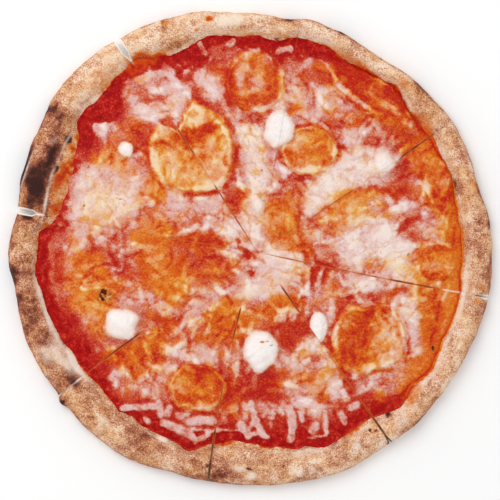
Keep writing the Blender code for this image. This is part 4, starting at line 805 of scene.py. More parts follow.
@functools.cache
def topping_fields():
    """Painted nets for the whole topping: how much pale cheese there is (0 none to 1 thick), how oily
    it is, which strands still stand up, and how the cheese banks up around the round slices."""
    x, y = field_places()
    swirled = stirred(*stirred(x, y, 2.4, 10.0, 420), 0.8, 3.2, 425)
    drifted = stirred(x, y, 4.0, 14.0, 430)
    melted = melted_field()
    depth, oil, edge = spread_cheese(x, y, swirled, drifted, melted)
    bank, covered = paint_rounds(x, y, swirled, drifted, melted, depth, oil)
    bareness = ramped(np.hypot(x, y), edge - 5.0, edge + 2.2) * (1.0 - covered)
    depth = np.clip(depth, 0.02, 1.1) * (1 - bareness) - 0.4 * bareness
    depth, standing = paint_strands(x, y, depth)
    return {"depth": depth, "oil": np.clip(oil, 0.0, 1.1), "standing": standing, "bank": bank}


def cheese_height(fields, x, y):
    """Height of the cheese: just under the sauce where it is bare, up with its depth and its strands,
    and up to the round slices that lie in it."""
    depth = lookup(fields["depth"], x, y)
    standing = lookup(fields["standing"], x, y)
    ripple = 0.08 * clouds(x, y, 2.2, 490, 2)
    height = SAUCE_TOP + 0.2 + 1.6 * np.clip(depth, -0.5, 1.1) + 0.5 * standing
    height = height + ripple * ramped(depth, 0.0, 0.3)
    return height + (np.maximum(height, BED_HEIGHT) - height) * lookup(fields["bank"], x, y)


# ---- Sheets cut into slices --------------------------------------------------------------------------
def cut_bank(index, side):
    """Angle of one bank of a cut at each distance from where the cuts meet: (distances, degrees). The
    cut is a chord bowed by 4 * bow * t * (1 - t), and its two banks stand apart by the kerf, which
    widens through the rim."""
    degrees, bow, gape, gape_from, gape_to = CUTS[index]
    centre = np.array(CUT_CENTRE)
    end = CUT_REACH * np.array([math.cos(math.radians(degrees)), math.sin(math.radians(degrees))])
    along = (end - centre) / np.linalg.norm(end - centre)
    left = np.array([-along[1], along[0]])
    share = np.linspace(0.0, 1.0, CUT_POINTS)[:, None]
    line = 4 * bow * share * (1 - share) * left + share * (end - centre)
    opening = ramped(np.linalg.norm(line + centre, axis=1), gape_from, gape_to)
    line = line + side * 0.5 * (KERF + gape * opening[:, None]) * left
    distance, turn = polar(line[:, 0], line[:, 1])
    middle = np.degrees(np.arctan2(along[1], along[0]))
    turn = turn_between(turn, middle) + middle
    steady = distance > CUT_START
    return distance[steady], turn[steady]


def slice_grid(number, edge, rows, columns):
    """Places (x, y) on a net over one slice. Each row runs from one bank to the other at the same
    share, from the list `rows`, of the way from the tip to the edge; `edge` gives the edge's radius at
    an angle about the middle, and EDGE_PASSES corrections find it from where the cuts meet."""
    first = cut_bank(number - 1, 1)
    second = cut_bank(number % len(CUTS), -1)
    across = np.linspace(0.0, 1.0, columns)

    def place(distance):
        start = np.interp(distance, *first)
        end = np.interp(distance, *second)
        angle = np.radians(start + across * ((end - start) % 360.0))
        return CUT_CENTRE[0] + distance * np.cos(angle), CUT_CENTRE[1] + distance * np.sin(angle)

    reach = np.full(columns, INNER_RADIUS)
    for _ in range(EDGE_PASSES):
        radius, degrees = polar(*place(reach))
        reach = reach + edge(degrees) - radius
    return place(TIP_RADIUS + np.asarray(rows)[:, None] * (reach - TIP_RADIUS))


def cut_distance(number, x, y):
    """Distance in mm from the nearer bank of the slice, and the tint of that cut there."""
    dx, dy = x - CUT_CENTRE[0], y - CUT_CENTRE[1]
    distance = np.hypot(dx, dy)
    degrees = np.degrees(np.arctan2(dy, dx))
    nearest, tint = np.full(np.shape(x), np.inf), np.zeros(np.shape(x))
    for index, side in ((number - 1, 1), (number % len(CUTS), -1)):
        off = np.abs(turn_between(degrees, np.interp(distance, *cut_bank(index, side))))
        gap = distance * np.sin(np.radians(np.minimum(off, 90.0)))
        tint = np.where(gap < nearest, np.interp(distance, *zip(*CUT_SHADE_TINTS[index])), tint)
        nearest = np.minimum(gap, nearest)
    return nearest, tint


def cut_shade_tint(number, x, y, width=0.62):
    """How dark beside the cuts: browned edges and painted shade of the gap; below zero, how pale."""
    gap, tint = cut_distance(number, x, y)
    wander = 0.85 + 0.3 * hills(x, y, 4.0, 500)
    return tint * wander * bell(gap, width)


# ---- Meshes ------------------------------------------------------------------------------------------
def net_faces(rows, columns, start=0, wrap=False, flip=False):
    """Quads of a net of points, as rows of four numbers, facing up for rows that run out and columns
    that run round."""
    row, column = np.mgrid[0 : rows - 1, 0 : columns - (0 if wrap else 1)]
    following = (column + 1) % columns
    corners = [row * columns + column, (row + 1) * columns + column,
               (row + 1) * columns + following, row * columns + following]
    quads = np.stack(corners, axis=-1).reshape(-1, 4) + start
    return quads[:, ::-1] if flip else quads


def wall_faces(upper, lower):
    """Quads between two equally long runs of points, facing outwards when the runs go round
    counter-clockwise."""
    return np.column_stack([upper[:-1], lower[:-1], lower[1:], upper[1:]])


def place_mesh(name, points, faces, material, values, replaced, sharp=50.0):
    """Makes the piece from points in mm and lists of faces, gives it its named values per point and its
    material, and lets it ride in place of the plain solid."""
    mesh = bpy.data.meshes.new(name)
    loops = np.concatenate([f.ravel() for f in faces]).astype(np.int32)
    sizes = np.concatenate([np.full(len(f), f.shape[1]) for f in faces]).astype(np.int32)
    mesh.vertices.add(len(points))
    mesh.vertices.foreach_set("co", (points * MM).astype(np.float32).ravel())
    mesh.loops.add(len(loops))
    mesh.loops.foreach_set("vertex_index", loops)
    mesh.polygons.add(len(sizes))
    mesh.polygons.foreach_set("loop_start", np.concatenate([[0], np.cumsum(sizes)[:-1]]).astype(np.int32))
    mesh.update(calc_edges=True)
    mesh.validate()
    for title, value in values.items():
        layer = mesh.attributes.new(title, "FLOAT", "POINT")
        layer.data.foreach_set("value", np.asarray(value, np.float32).ravel())
    mesh.shade_smooth()
    mesh.set_sharp_from_angle(angle=math.radians(sharp))
    mesh.materials.append(material)
    piece = bpy.data.objects.new(name, mesh)
    bpy.context.scene.collection.objects.link(piece)
    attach(piece, "root")
    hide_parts(replaced)


def slab(name, x, y, top, bottom, material, values, replaced, stride=1):
    """A closed slice of a layer: its upper and lower faces, and walls round the outside. The lower face
    has every stride-th row of the upper one's net, as low as the lowest of the rows that each one
    stands for."""
    rows, columns = x.shape
    count = rows * columns
    kept = np.unique(np.append(np.arange(0, rows, stride), rows - 1))
    under = np.array([bottom[max(row - stride + 1, 0) : row + stride].min(axis=0) for row in kept])
    nets = [(x, y, top), (x[kept], y[kept], under)]
    points = np.concatenate([np.stack(net, axis=-1).reshape(-1, 3) for net in nets])
    upper = np.arange(count).reshape(rows, columns)
    lower = count + np.arange(under.size).reshape(under.shape)
    faces = [net_faces(rows, columns), net_faces(len(kept), columns, count, flip=True),
             wall_faces(upper[-1], lower[-1]), wall_faces(upper[0, ::-1], lower[0, ::-1])]
    for step, (near, far) in enumerate(zip(kept[:-1], kept[1:])):
        first = [upper[near, 0], lower[step, 0], lower[step + 1, 0], *upper[far:near:-1, 0]]
        second = [upper[far, -1], lower[step + 1, -1], lower[step, -1], *upper[near:far, -1]]
        faces += [np.array([first]), np.array([second])]
    joined = {title: np.append(value, value[kept]) for title, value in values.items()}
    place_mesh(name, points, faces, material, joined, replaced)


def lump(name, x, y, top, bottom, material, values, replaced):
    """A closed lump: rings of points round a middle point, above and below, and a wall between the
    outer rings. The first ring of each array is the middle."""
    rings, columns = x.shape
    count = (rings - 1) * columns
    stacks = [np.stack([x[1:], y[1:], z[1:]], axis=-1).reshape(-1, 3) for z in (top, bottom)]
    middles = np.array([[x[0, 0], y[0, 0], z[0, 0]] for z in (top, bottom)])
    points = np.concatenate([*stacks, middles])
    ring = np.arange(columns)
    following = (ring + 1) % columns
    upper_fan = np.column_stack([np.full(columns, 2 * count), ring, following])
    lower_fan = np.column_stack([np.full(columns, 2 * count + 1), following + count, ring + count])
    outer = (rings - 2) * columns + np.append(ring, 0)
    faces = [upper_fan, lower_fan, net_faces(rings - 1, columns, 0, wrap=True),
             net_faces(rings - 1, columns, count, wrap=True, flip=True), wall_faces(outer, outer + count)]
    joined = {}
    for title, value in values.items():
        middle = value[0, :1]
        joined[title] = np.concatenate([value[1:].ravel(), value[1:].ravel(), middle, middle])
    place_mesh(name, points, faces, material, joined, replaced, sharp=70.0)


def star_net(inside, start, rays=220, rings=26):
    """Places over a shape on rays from a point inside it: `inside(x, y)` says whether a place is in the
    shape, and each ray is followed outwards by RAY_STEP until it leaves; halving that last step finds
    the edge itself."""
    angle = np.linspace(0.0, 2 * math.pi, rays, endpoint=False)
    cosine, sine = np.cos(angle), np.sin(angle)
    steps = np.arange(RAY_STEP, RAY_REACH, RAY_STEP)[:, None]
    held = inside(start[0] + steps * cosine, start[1] + steps * sine)
    reach, step = RAY_STEP * np.argmin(held, axis=0), 0.5 * RAY_STEP
    while step > 0.01:
        further = inside(start[0] + (reach + step) * cosine, start[1] + (reach + step) * sine)
        reach, step = reach + step * further, 0.5 * step
    share = np.sin(0.5 * math.pi * np.linspace(0.0, 1.0, rings))[:, None]
    return start[0] + share * reach * cosine, start[1] + share * reach * sine


def in_slice(number, x, y, kerf=0.04):
    """Whether a place lies between the two cuts of a slice."""
    dx, dy = x - CUT_CENTRE[0], y - CUT_CENTRE[1]
    distance, degrees = np.hypot(dx, dy), np.degrees(np.arctan2(dy, dx))
    clear = np.degrees(0.5 * kerf / np.maximum(distance, 1.0))
    after = turn_between(degrees, np.interp(distance, *cut_bank(number - 1, 1))) > clear
    before = turn_between(degrees, np.interp(distance, *cut_bank(number % len(CUTS), -1))) < -clear
    return after & before


# ---- Materials ---------------------------------------------------------------------------------------
class Mixer:
    """Builds a material's nodes: each call adds one node and returns its output."""

    def __init__(self, name, roughness, specular=0.15, subsurface=0.0):
        self.material = bpy.data.materials.get(name) or bpy.data.materials.new(name)
        self.material.use_nodes = True
        self.tree = self.material.node_tree
        self.tree.nodes.clear()
        self.shader = self.tree.nodes.new("ShaderNodeBsdfPrincipled")
        output = self.tree.nodes.new("ShaderNodeOutputMaterial")
        self.tree.links.new(self.shader.outputs[0], output.inputs[0])
        self.shader.inputs["Roughness"].default_value = roughness
        self.shader.inputs["Specular IOR Level"].default_value = specular
        self.shader.inputs["Subsurface Weight"].default_value = subsurface
        self.shader.inputs["Subsurface Radius"].default_value = (1.0, 0.6, 0.45)
        self.shader.inputs["Subsurface Scale"].default_value = 1.6 * MM
        self.place = self.tree.nodes.new("ShaderNodeTexCoord").outputs["Object"]

    def feed(self, socket, value):
        """Links another node's output to a socket, or sets the socket to a plain value."""
        if isinstance(value, bpy.types.NodeSocket):
            self.tree.links.new(value, socket)
        else:
            socket.default_value = value

    def value(self, title):
        """A named value of the mesh."""
        node = self.tree.nodes.new("ShaderNodeAttribute")
        node.attribute_name = title
        return node.outputs["Fac"]

    def noise(self, size, detail=3.0, rough=0.55, warp=0.0):
        """Noise from 0 to 1 whose features are about `size` mm across."""
        node = self.tree.nodes.new("ShaderNodeTexNoise")
        self.feed(node.inputs["Vector"], self.place)
        node.inputs["Scale"].default_value = 1.0 / (size * MM)
        node.inputs["Detail"].default_value = detail
        node.inputs["Roughness"].default_value = rough
        node.inputs["Distortion"].default_value = warp
        return node.outputs["Fac"]

    def compute(self, operation, first, second):
        """The result of one of the Math node's operations."""
        node = self.tree.nodes.new("ShaderNodeMath")
        node.operation = operation
        self.feed(node.inputs[0], first)
        self.feed(node.inputs[1], second)
        return node.outputs[0]

    def plus(self, first, second):
        """first + second"""
        return self.compute("ADD", first, second)

    def minus(self, first, second):
        """first - second"""
        return self.compute("SUBTRACT", first, second)

    def times(self, first, second):
        """first * second"""
        return self.compute("MULTIPLY", first, second)

    def nudge(self, value, noise, amount):
        """value + amount * (noise - 0.5)"""
        return self.plus(value, self.times(self.minus(noise, 0.5), amount))

    def between(self, value, low, high):
        """The value's way from low to high, as a smooth step from 0 to 1."""
        node = self.tree.nodes.new("ShaderNodeMapRange")
        node.interpolation_type = "SMOOTHSTEP"
        self.feed(node.inputs["Value"], value)
        node.inputs["From Min"].default_value = low
        node.inputs["From Max"].default_value = high
        return node.outputs["Result"]

    def ramp(self, value, stops):
        """Colours along a value: stops are (position, sRGB colour)."""
        node = self.tree.nodes.new("ShaderNodeValToRGB")
        elements = node.color_ramp.elements
        while len(elements) < len(stops):
            elements.new(1.0)
        for element, (position, colour) in zip(elements, stops):
            element.position = position
            element.color = (*linear(colour), 1.0)
        self.feed(node.inputs["Fac"], value)
        return node.outputs["Color"]

    def blend(self, amount, first, second):
        """Two colours mixed. A colour is another node's output or sRGB in 0 to 255."""
        node = self.tree.nodes.new("ShaderNodeMix")
        node.data_type = "RGBA"
        self.feed(node.inputs["Factor"], amount)
        for socket, colour in ((node.inputs[6], first), (node.inputs[7], second)):
            linked = isinstance(colour, bpy.types.NodeSocket)
            self.feed(socket, colour if linked else (*linear(colour), 1.0))
        return node.outputs[2]

    def bump(self, height, depth_mm, strength):
        """Fine relief of the surface that is too small for the mesh."""
        node = self.tree.nodes.new("ShaderNodeBump")
        node.inputs["Strength"].default_value = strength
        node.inputs["Distance"].default_value = depth_mm * MM
        self.feed(node.inputs["Height"], height)
        self.tree.links.new(node.outputs["Normal"], self.shader.inputs["Normal"])

    def finish(self, colour):
        """Gives the shader its colour and returns the material."""
        self.feed(self.shader.inputs["Base Color"], colour)
        return self.material


def linear(colour):
    """An sRGB colour in 0 to 255 as linear light."""
    share = np.asarray(colour, float) / 255.0
    return tuple(np.where(share <= 0.04045, share / 12.92, ((share + 0.055) / 1.055) ** 2.4))


# Colours along a value, as (position, sRGB colour), and single colours.
# The dark end of these cut stops is painted shade in the gap between slices; the brown is browned edges.
CUT_SHADE_STOPS = [(0.0, (210, 116, 48)), (0.45, (178, 86, 34)), (0.75, (128, 54, 22)), (1.0, (72, 28, 12))]
CRUST_CUT_SHADE_STOPS = [(0.0, (190, 140, 100)), (0.5, (132, 84, 56)), (1.0, (60, 34, 24))]
PLAIN_STOPS = [
    (0.0, (172, 14, 10)), (0.16, (182, 32, 20)), (0.32, (194, 70, 46)), (0.49, (204, 120, 100)),
    (0.66, (216, 168, 158)), (0.86, (227, 198, 190)), (1.0, (239, 221, 211)),
]
OILY_STOPS = [
    (0.0, (182, 24, 6)), (0.18, (192, 50, 6)), (0.36, (206, 86, 8)), (0.55, (217, 120, 24)),
    (0.76, (224, 158, 76)), (1.0, (236, 206, 160)),
]
DOUGH_STOPS = [
    (0.0, (240, 218, 194)), (0.13, (230, 192, 162)), (0.28, (213, 160, 126)), (0.44, (188, 126, 94)),
    (0.60, (160, 91, 64)), (0.80, (102, 52, 39)), (1.0, (58, 30, 25)),
]
OILY_DOUGH_STOPS = [
    (0.0, (226, 170, 96)), (0.4, (220, 140, 50)), (0.7, (208, 98, 22)), (1.0, (186, 48, 14)),
]
SAUCE_STOPS = [(0.2, (146, 6, 8)), (0.45, (170, 12, 10)), (0.62, (184, 30, 20)), (0.85, (204, 80, 56))]
OILY_SAUCE_STOPS = [(0.3, (200, 50, 8)), (0.7, (208, 80, 10)), (1.0, (222, 126, 30))]
CURD_STOPS = [
    (0.0, (245, 238, 234)), (0.2, (243, 234, 230)), (0.4, (240, 225, 217)), (0.7, (236, 209, 195)),
    (1.0, (228, 194, 182)),
]
LILAC = (222, 186, 206)
RUST = (204, 84, 28)
TOASTED = (212, 124, 58)
GOLDEN = (224, 166, 90)
FLOUR_AND_HIGHLIGHT = (240, 224, 208)
PALE_CRUMB = (246, 236, 226)
SAUCE_HIGHLIGHT = (214, 108, 80)
# Colour of the painted highlight specks on the sauce.
CUT_SAUCE = (222, 150, 120)
CUT_CHEESE = (234, 200, 184)
BROWNED = (176, 92, 16)
BURNT = (78, 22, 8)
OIL_SPECK = (206, 132, 74)


def cut_shade_marks(mix, colour, pale, stops=CUT_SHADE_STOPS, full_at=0.5):
    """Adds the cuts' marks to a colour: brown and then dark along an open cut, the dark being painted shade
    in the gap, pale where crumb shows."""
    cut_shade = mix.value("cut_shade")
    colour = mix.blend(mix.between(cut_shade, 0.1, full_at), colour, mix.ramp(cut_shade, stops))
    return mix.blend(mix.between(mix.times(cut_shade, -1.0), 0.1, 0.6), colour, pale)


def topping_colour(mix):
    """Colour of cheese from how deep and how oily it is: without oil red, pink, lilac and cream, with
    oil orange-red, orange, gold and cream. Noise makes both ragged, most where the cheese is thin.
    Rusty freckles lie on it where it isn't bare, and toasted crumbs all over."""
    given = mix.value("depth")
    thin = mix.minus(1.25, mix.times(given, 0.95))
    noise = mix.nudge(mix.nudge(0.0, mix.noise(3.6, 4, 0.65, 0.6), 0.46), mix.noise(1.2, 3, 0.65), 1.0)
    depth = mix.plus(given, mix.times(noise, thin))
    oil = mix.nudge(mix.value("oil"), mix.noise(4.8, 4, 0.6), 1.2)
    oil = mix.nudge(oil, mix.noise(1.4, 3, 0.6), 0.9)
    plain, oily = mix.ramp(depth, PLAIN_STOPS), mix.ramp(depth, OILY_STOPS)
    colour = mix.blend(mix.between(oil, 0.05, 0.85), plain, oily)
    lilac = mix.times(mix.between(mix.noise(18, 2), 0.42, 0.62), mix.between(depth, 0.4, 0.75))
    colour = mix.blend(mix.times(lilac, 0.18), colour, LILAC)
    freckles = mix.times(mix.between(mix.noise(1.7, 2, 0.5), 0.56, 0.70), mix.between(depth, -0.3, 0.3))
    colour = mix.blend(mix.times(mix.times(freckles, 0.5), thin), colour, RUST)
    crumbs = mix.times(mix.between(mix.noise(2.6, 2, 0.5), 0.63, 0.72), 0.4)
    return mix.blend(crumbs, colour, TOASTED)


def dough_material():
    """Baked dough: tan with fine brown speckle, browner and then black where scorched, floury in places,
    with a painted highlight line along part of the outer edge, and orange where oil ran."""
    mix = Mixer("baked_dough", 0.78)
    scorch = mix.nudge(mix.value("scorch"), mix.noise(6.5, 5, 0.65), 1.2)
    speckle = mix.times(mix.minus(mix.noise(0.95, 3, 0.7), 0.5), 1.9)
    scorch = mix.plus(scorch, mix.times(speckle, mix.minus(1.0, mix.between(scorch, 0.3, 1.1))))
    unburnt = mix.between(scorch, 0.7, 0.4)
    ripe = mix.times(mix.between(mix.noise(14, 3), 0.42, 0.62), unburnt)
    colour = mix.blend(mix.times(ripe, 0.28), mix.ramp(scorch, DOUGH_STOPS), GOLDEN)
    # Pale flour, and a painted highlight line on part of the outer edge, blend in here.
    flour_and_highlight = mix.nudge(mix.value("flour_and_highlight"), mix.noise(2.6, 4), 0.5)
    colour = mix.blend(mix.between(flour_and_highlight, 0.1, 1.0), colour, FLOUR_AND_HIGHLIGHT)
    oil = mix.nudge(mix.value("oil"), mix.noise(2.2, 4, 0.65), 0.9)
    soaked = mix.times(mix.between(oil, 0.16, 0.75), unburnt)
    colour = mix.blend(soaked, colour, mix.ramp(oil, OILY_DOUGH_STOPS))
    mix.bump(mix.noise(1.6, 5, 0.7), 0.35, 0.6)
    return mix.finish(cut_shade_marks(mix, colour, PALE_CRUMB, CRUST_CUT_SHADE_STOPS, 0.6))


def sauce_material():
    """Wet tomato sauce: deep red with grains of lighter red and sparse painted highlight specks, orange
    where it is oily, and a gloss."""
    mix = Mixer("tomato_sauce", 0.30, specular=0.07)
    grain = mix.nudge(mix.nudge(0.42, mix.noise(5.0, 4, 0.6), 1.9), mix.noise(1.4, 2), 0.8)
    # Painted highlights: sparse pale specks stand in for glints on the wet sauce.
    highlight_specks = mix.between(mix.noise(1.5, 1), 0.64, 0.74)
    colour = mix.blend(mix.times(highlight_specks, 0.3), mix.ramp(grain, SAUCE_STOPS), SAUCE_HIGHLIGHT)
    oil = mix.nudge(mix.value("oil"), mix.noise(3.0, 4), 0.9)
    colour = mix.blend(mix.between(oil, 0.15, 0.7), colour, mix.ramp(oil, OILY_SAUCE_STOPS))
    mix.bump(mix.noise(1.8, 4, 0.6), 0.3, 0.6)
    return mix.finish(cut_shade_marks(mix, colour, CUT_SAUCE))


def cheese_material():
    """Melted grated cheese, with a few spots that burnt."""
    mix = Mixer("melted_cheese", 0.42, specular=0.12)
    scorch = mix.nudge(mix.value("scorch"), mix.noise(1.6, 2), 0.9)
    colour = mix.blend(mix.between(scorch, 0.15, 0.6), topping_colour(mix), BROWNED)
    colour = mix.blend(mix.between(scorch, 0.45, 0.95), colour, BURNT)
    mix.bump(mix.noise(1.4, 4, 0.6), 0.25, 0.5)
    return mix.finish(cut_shade_marks(mix, colour, CUT_CHEESE))


def smoked_material():
    """Smoked cheese: golden and oily with red marbling inside a pale rim, in the colours of the cheese
    around it."""
    mix = Mixer("smoked_cheese", 0.40, specular=0.12)
    mix.bump(mix.noise(1.5, 4, 0.6), 0.3, 0.6)
    return mix.finish(cut_shade_marks(mix, topping_colour(mix), CUT_CHEESE))


def white_material():
    """White curd cheese: near white, blending at its edge into the melted cheese, with a few oily
    specks."""
    mix = Mixer("white_cheese", 0.50, specular=0.2, subsurface=0.3)
    stain = mix.nudge(mix.nudge(mix.value("stain"), mix.noise(2.6, 3), 0.6), mix.noise(6.5, 3), 0.5)
    colour = mix.blend(mix.between(stain, 0.65, 1.1), mix.ramp(stain, CURD_STOPS), topping_colour(mix))
    colour = mix.blend(mix.between(mix.value("speck"), 0.35, 0.8), colour, OIL_SPECK)
    mix.bump(mix.noise(3.0, 3), 0.2, 0.3)
    return mix.finish(cut_shade_marks(mix, colour, PALE_CRUMB))


# ---- Pieces ------------------------------------------------------------------------------------------
def edge_rows(reach, plain, fine_from):
    """Shares of the way out: a few plain rows to `fine_from` mm, then one every STEP."""
    coarse = np.linspace(0.0, fine_from / reach, plain, endpoint=False)
    fine = np.linspace(fine_from / reach, 1.0, int((reach - fine_from) / STEP))
    return np.concatenate([coarse, fine])


def slice_columns():
    """Points across a slice at the rim, a STEP apart."""
    return int(math.radians(360.0 / len(CUTS)) * OUTER_RADIUS / STEP)


def dough_scorch(x, y):
    """How browned or burnt the dough is: the baking of each stretch, its burnt places, streaks along
    the rim and a browned outer edge, all fainter under the topping."""
    radius, degrees = polar(x, y)
    outside, inside = rim_outside(degrees), rim_inside(degrees)
    burnt = rim_marks(*stirred(x, y, 1.5, 7.0, 590), SCORCHES)
    scorch = eased(BAKED, degrees) + burnt + 0.08 * clouds(x, y, 9.0, 600, 4)
    bend = (80.0 + 1.6 * (radius - 150.0)) / radius
    scorch = scorch + 0.17 * clouds(bend * x, bend * y, 9.0, 605, 4)
    edge = 0.22 * ramped(radius, outside - 2.2, outside)
    scorch = scorch + edge * (0.7 + 0.6 * clouds(x, y, 12.0, 610, 2))
    scorch = scorch * (0.55 + 0.45 * ramped(radius, inside - 2.5, inside + 0.5))
    return np.clip(scorch, 0.0, 1.1)


def make_dough(number, rim_lift):
    """One slice of dough. Its underside is flat and curls up to the waist as 1 - sqrt(1 - t^2) over
    EDGE_CURL. Its rows crowd together at the outer edge, where it turns under."""
    rows = edge_rows(OUTER_RADIUS, 14, 122.0)
    rows = 1.0 - (1.0 - rows) * np.where(rows > 0.96, (1.0 - rows) / 0.04, 1.0) ** 0.6
    x, y = slice_grid(number, rim_outside, rows, slice_columns())
    radius, degrees = polar(x, y)
    inside = rim_inside(degrees)
    top = DOUGH_TOP + (dough_height(x, y) - DOUGH_TOP) * rim_lift
    curl = np.clip((radius - rim_outside(degrees) + EDGE_CURL) / EDGE_CURL, 0.0, 1.0)
    bottom = np.minimum((WAIST - 0.15) * (1.0 - np.sqrt(1.0 - curl**2)), top - 0.05)
    gap, tint = cut_distance(number, x, y)
    torn = np.clip(-tint, 0.0, 1.0)
    top = top - (0.8 + 1.0 * torn) * bell(gap, 0.7 + 0.5 * torn) * ramped(radius, 136, 146)
    dusting = 0.5 * bell(radius - inside - 1.6, 1.2) * (0.5 + 0.5 * hills(x, y, 9, 620))
    seeping = (0.34 + 0.5 * clouds(x, y, 5.0, 625, 4)) * (1 - ramped(radius, inside - 1.0, inside + 0.8))
    values = {
        "scorch": dough_scorch(x, y),
        "flour_and_highlight": rim_marks(x, y, FLOURY_AND_HIGHLIGHT) + dusting,
        "oil": rim_marks(x, y, OILY_RIM) + seeping,
        "cut_shade": cut_shade_tint(number, x, y, 0.8),
    }
    slab(f"baked_slice_{number}", x, y, top, bottom, dough_material(), values,
         f"crust_{number}")


def make_sauce(number, film):
    """One slice of sauce, a wavy film that thins out at its edge and climbs the foot of the rim."""
    x, y = slice_grid(number, sauce_outside, edge_rows(INNER_RADIUS, 24, 96.0), slice_columns())
    radius, degrees = polar(x, y)
    from_edge = sauce_outside(degrees) - radius
    waves = 0.14 * clouds(x, y, 5.0, 630, 3)
    thinning = ramped(from_edge, 0.0, 2.0)
    dough = dough_height(x, y)
    lying = SAUCE_TOP - film + film * thinning + waves
    climbing = dough + 0.12 + (film - 0.3) * thinning + 0.5 * waves
    top = np.maximum(lying, climbing)
    bottom = np.minimum(np.maximum(SAUCE_BOTTOM, dough - 0.4), top - 0.05)
    edge = 1.0 - ramped(from_edge, 0.3, 2.5)
    oil = 0.4 * edge * (0.5 + 0.5 * clouds(x, y, 14.0, 640, 2)) + eased(OILY_MARGINS, degrees)
    values = {"oil": np.clip(oil, 0, 1), "cut_shade": cut_shade_tint(number, x, y)}
    slab(f"tomato_sauce_{number}", x, y, top, bottom, sauce_material(), values,
         f"sauce_{number}")


def make_cheese(number, fields, rise):
    """One slice of melted cheese, whose surface dips under the sauce where it is bare."""
    rows = np.linspace(0.0, 1.0, int(INNER_RADIUS / STEP))
    x, y = slice_grid(number, lambda degrees: rim_inside(degrees) - CHEESE_INSET, rows, slice_columns())
    top = SAUCE_TOP + (cheese_height(fields, x, y) - SAUCE_TOP) * rise
    gap, tint = cut_distance(number, x, y)
    top = top - 0.25 * bell(gap, 0.5) * np.clip(np.abs(tint), 0.0, 1.0)
    bottom = np.minimum(CHEESE_BOTTOM, top - 0.1)
    values = {
        "depth": np.clip(lookup(fields["depth"], x, y), 0.0, 1.1),
        "oil": lookup(fields["oil"], x, y) * (1 - 0.8 * lookup(fields["standing"], x, y)),
        "scorch": ovals(x, y, SCORCHED_CHEESE, 4.0) * (1.0 + 0.9 * clouds(x, y, 1.8, 650, 2)),
        "cut_shade": cut_shade_tint(number, x, y),
    }
    slab(f"melted_cheese_{number}", x, y, top, bottom, cheese_material(), values,
         f"cheese_{number}", UNDERSIDE_STRIDE)


def make_round(name, node, number, start, fields):
    """A piece of a round slice: a shallow dish with a lip just inside its edge, which slopes down into
    the cheese and leans up where it meets the rim."""
    cx, cy, _ = ROUNDS[name]
    sink, lip, lift, lift_to, veil = ROUND_FORMS[name][:5]

    def inside(px, py):
        radius, degrees = polar(px, py)
        clear = radius < rim_inside(degrees) + 1.0
        return (outline_share(name, px, py) < 1.02) & in_slice(number, px, py) & clear

    x, y = star_net(inside, start)
    share = outline_share(name, x, y)
    leaning, _ = turned(x - cx, y - cy, lift_to)
    crinkle = 0.12 * clouds(x, y, 3.0, 660, 3) + 0.2 * clouds(x, y, 10.0, 670, 2)
    dish = lip * bell(share - 0.88, 0.07) - sink * (1.0 - ramped(share, 0.2, 0.85))
    top = ROUND_TOP - 1.2 * veil + dish + crinkle + lift * leaning
    top = top + (cheese_height(fields, x, y) - 0.3 - top) * ramped(share, 0.93 - 0.3 * veil, 1.03)
    bottom = np.minimum(ROUND_BOTTOM, top - 0.3)
    values = {title: lookup(fields[title], x, y) for title in ("depth", "oil")}
    values["cut_shade"] = cut_shade_tint(number, x, y)
    lump("smoked_" + node, x, y, top, bottom, smoked_material(), values, node)


def make_dollop(name, node, number, start, fields, plumpness):
    """A piece of a dollop: a dome of height (1 - s^2.2)^1.1 whose thin skirt has melted into the
    cheese. Its outline is |cos / a|^p + |sin / b|^p = 1 with a point in front."""
    cx, cy, half_width, half_depth, tall, power, point, turn, melt = DOLLOPS[name]

    def share_at(px, py):
        degrees = np.degrees(np.arctan2(py - cy, px - cx))
        angle = np.radians(degrees - turn)
        terms = np.abs(np.cos(angle) / half_width) ** power + np.abs(np.sin(angle) / half_depth) ** power
        reach = terms ** (-1.0 / power) * (1.0 + point * bell(turn_between(degrees, -95.0), 22.0))
        ragged = 1.0 + (0.04 + 0.16 * melt) * hills(px, py, 6.0, 720)
        return np.hypot(px - cx, py - cy) / (reach * ragged)

    def inside(px, py):
        return (share_at(px, py) < DOLLOP_SKIRT) & in_slice(number, px, py)

    x, y = star_net(inside, start, 144, 26)
    share = share_at(x, y)
    dome = np.clip(1.0 - (share / DOLLOP_SKIRT) ** 2.2, 0.0, 1.0) ** 1.1
    lumps = 0.3 * clouds(x, y, 6.0, 730, 3)
    top = cheese_height(fields, x, y) + 0.05 + tall * plumpness * dome + lumps * ramped(dome, 0.0, 0.5)
    bottom = np.minimum(DOLLOP_BOTTOM, top - 0.3)
    values = {title: lookup(fields[title], x, y) for title in ("depth", "oil")}
    stain = 0.05 + 0.32 * melt + 1.1 * ramped(share, 0.72 - 0.4 * melt, 1.2)
    values["stain"] = stain + 0.08 * clouds(x, y, 8.0, 740, 2)
    values["speck"] = ovals(x, y, SPECKS, 3.0)
    values["cut_shade"] = 0.4 * cut_shade_tint(number, x, y)
    lump("white_" + node, x, y, top, bottom, white_material(), values, node)


# ---- The add-on --------------------------------------------------------------------------------------
FLOOR_HALF = 3.0  # metres, as are the lamp's two
LAMP_SIZE = 0.9
LAMP_PLACE = (-0.55, 0.65, 1.25)
CAMERA_OFFSET = (0.3, -1.0)  # mm that the camera hangs off the middle


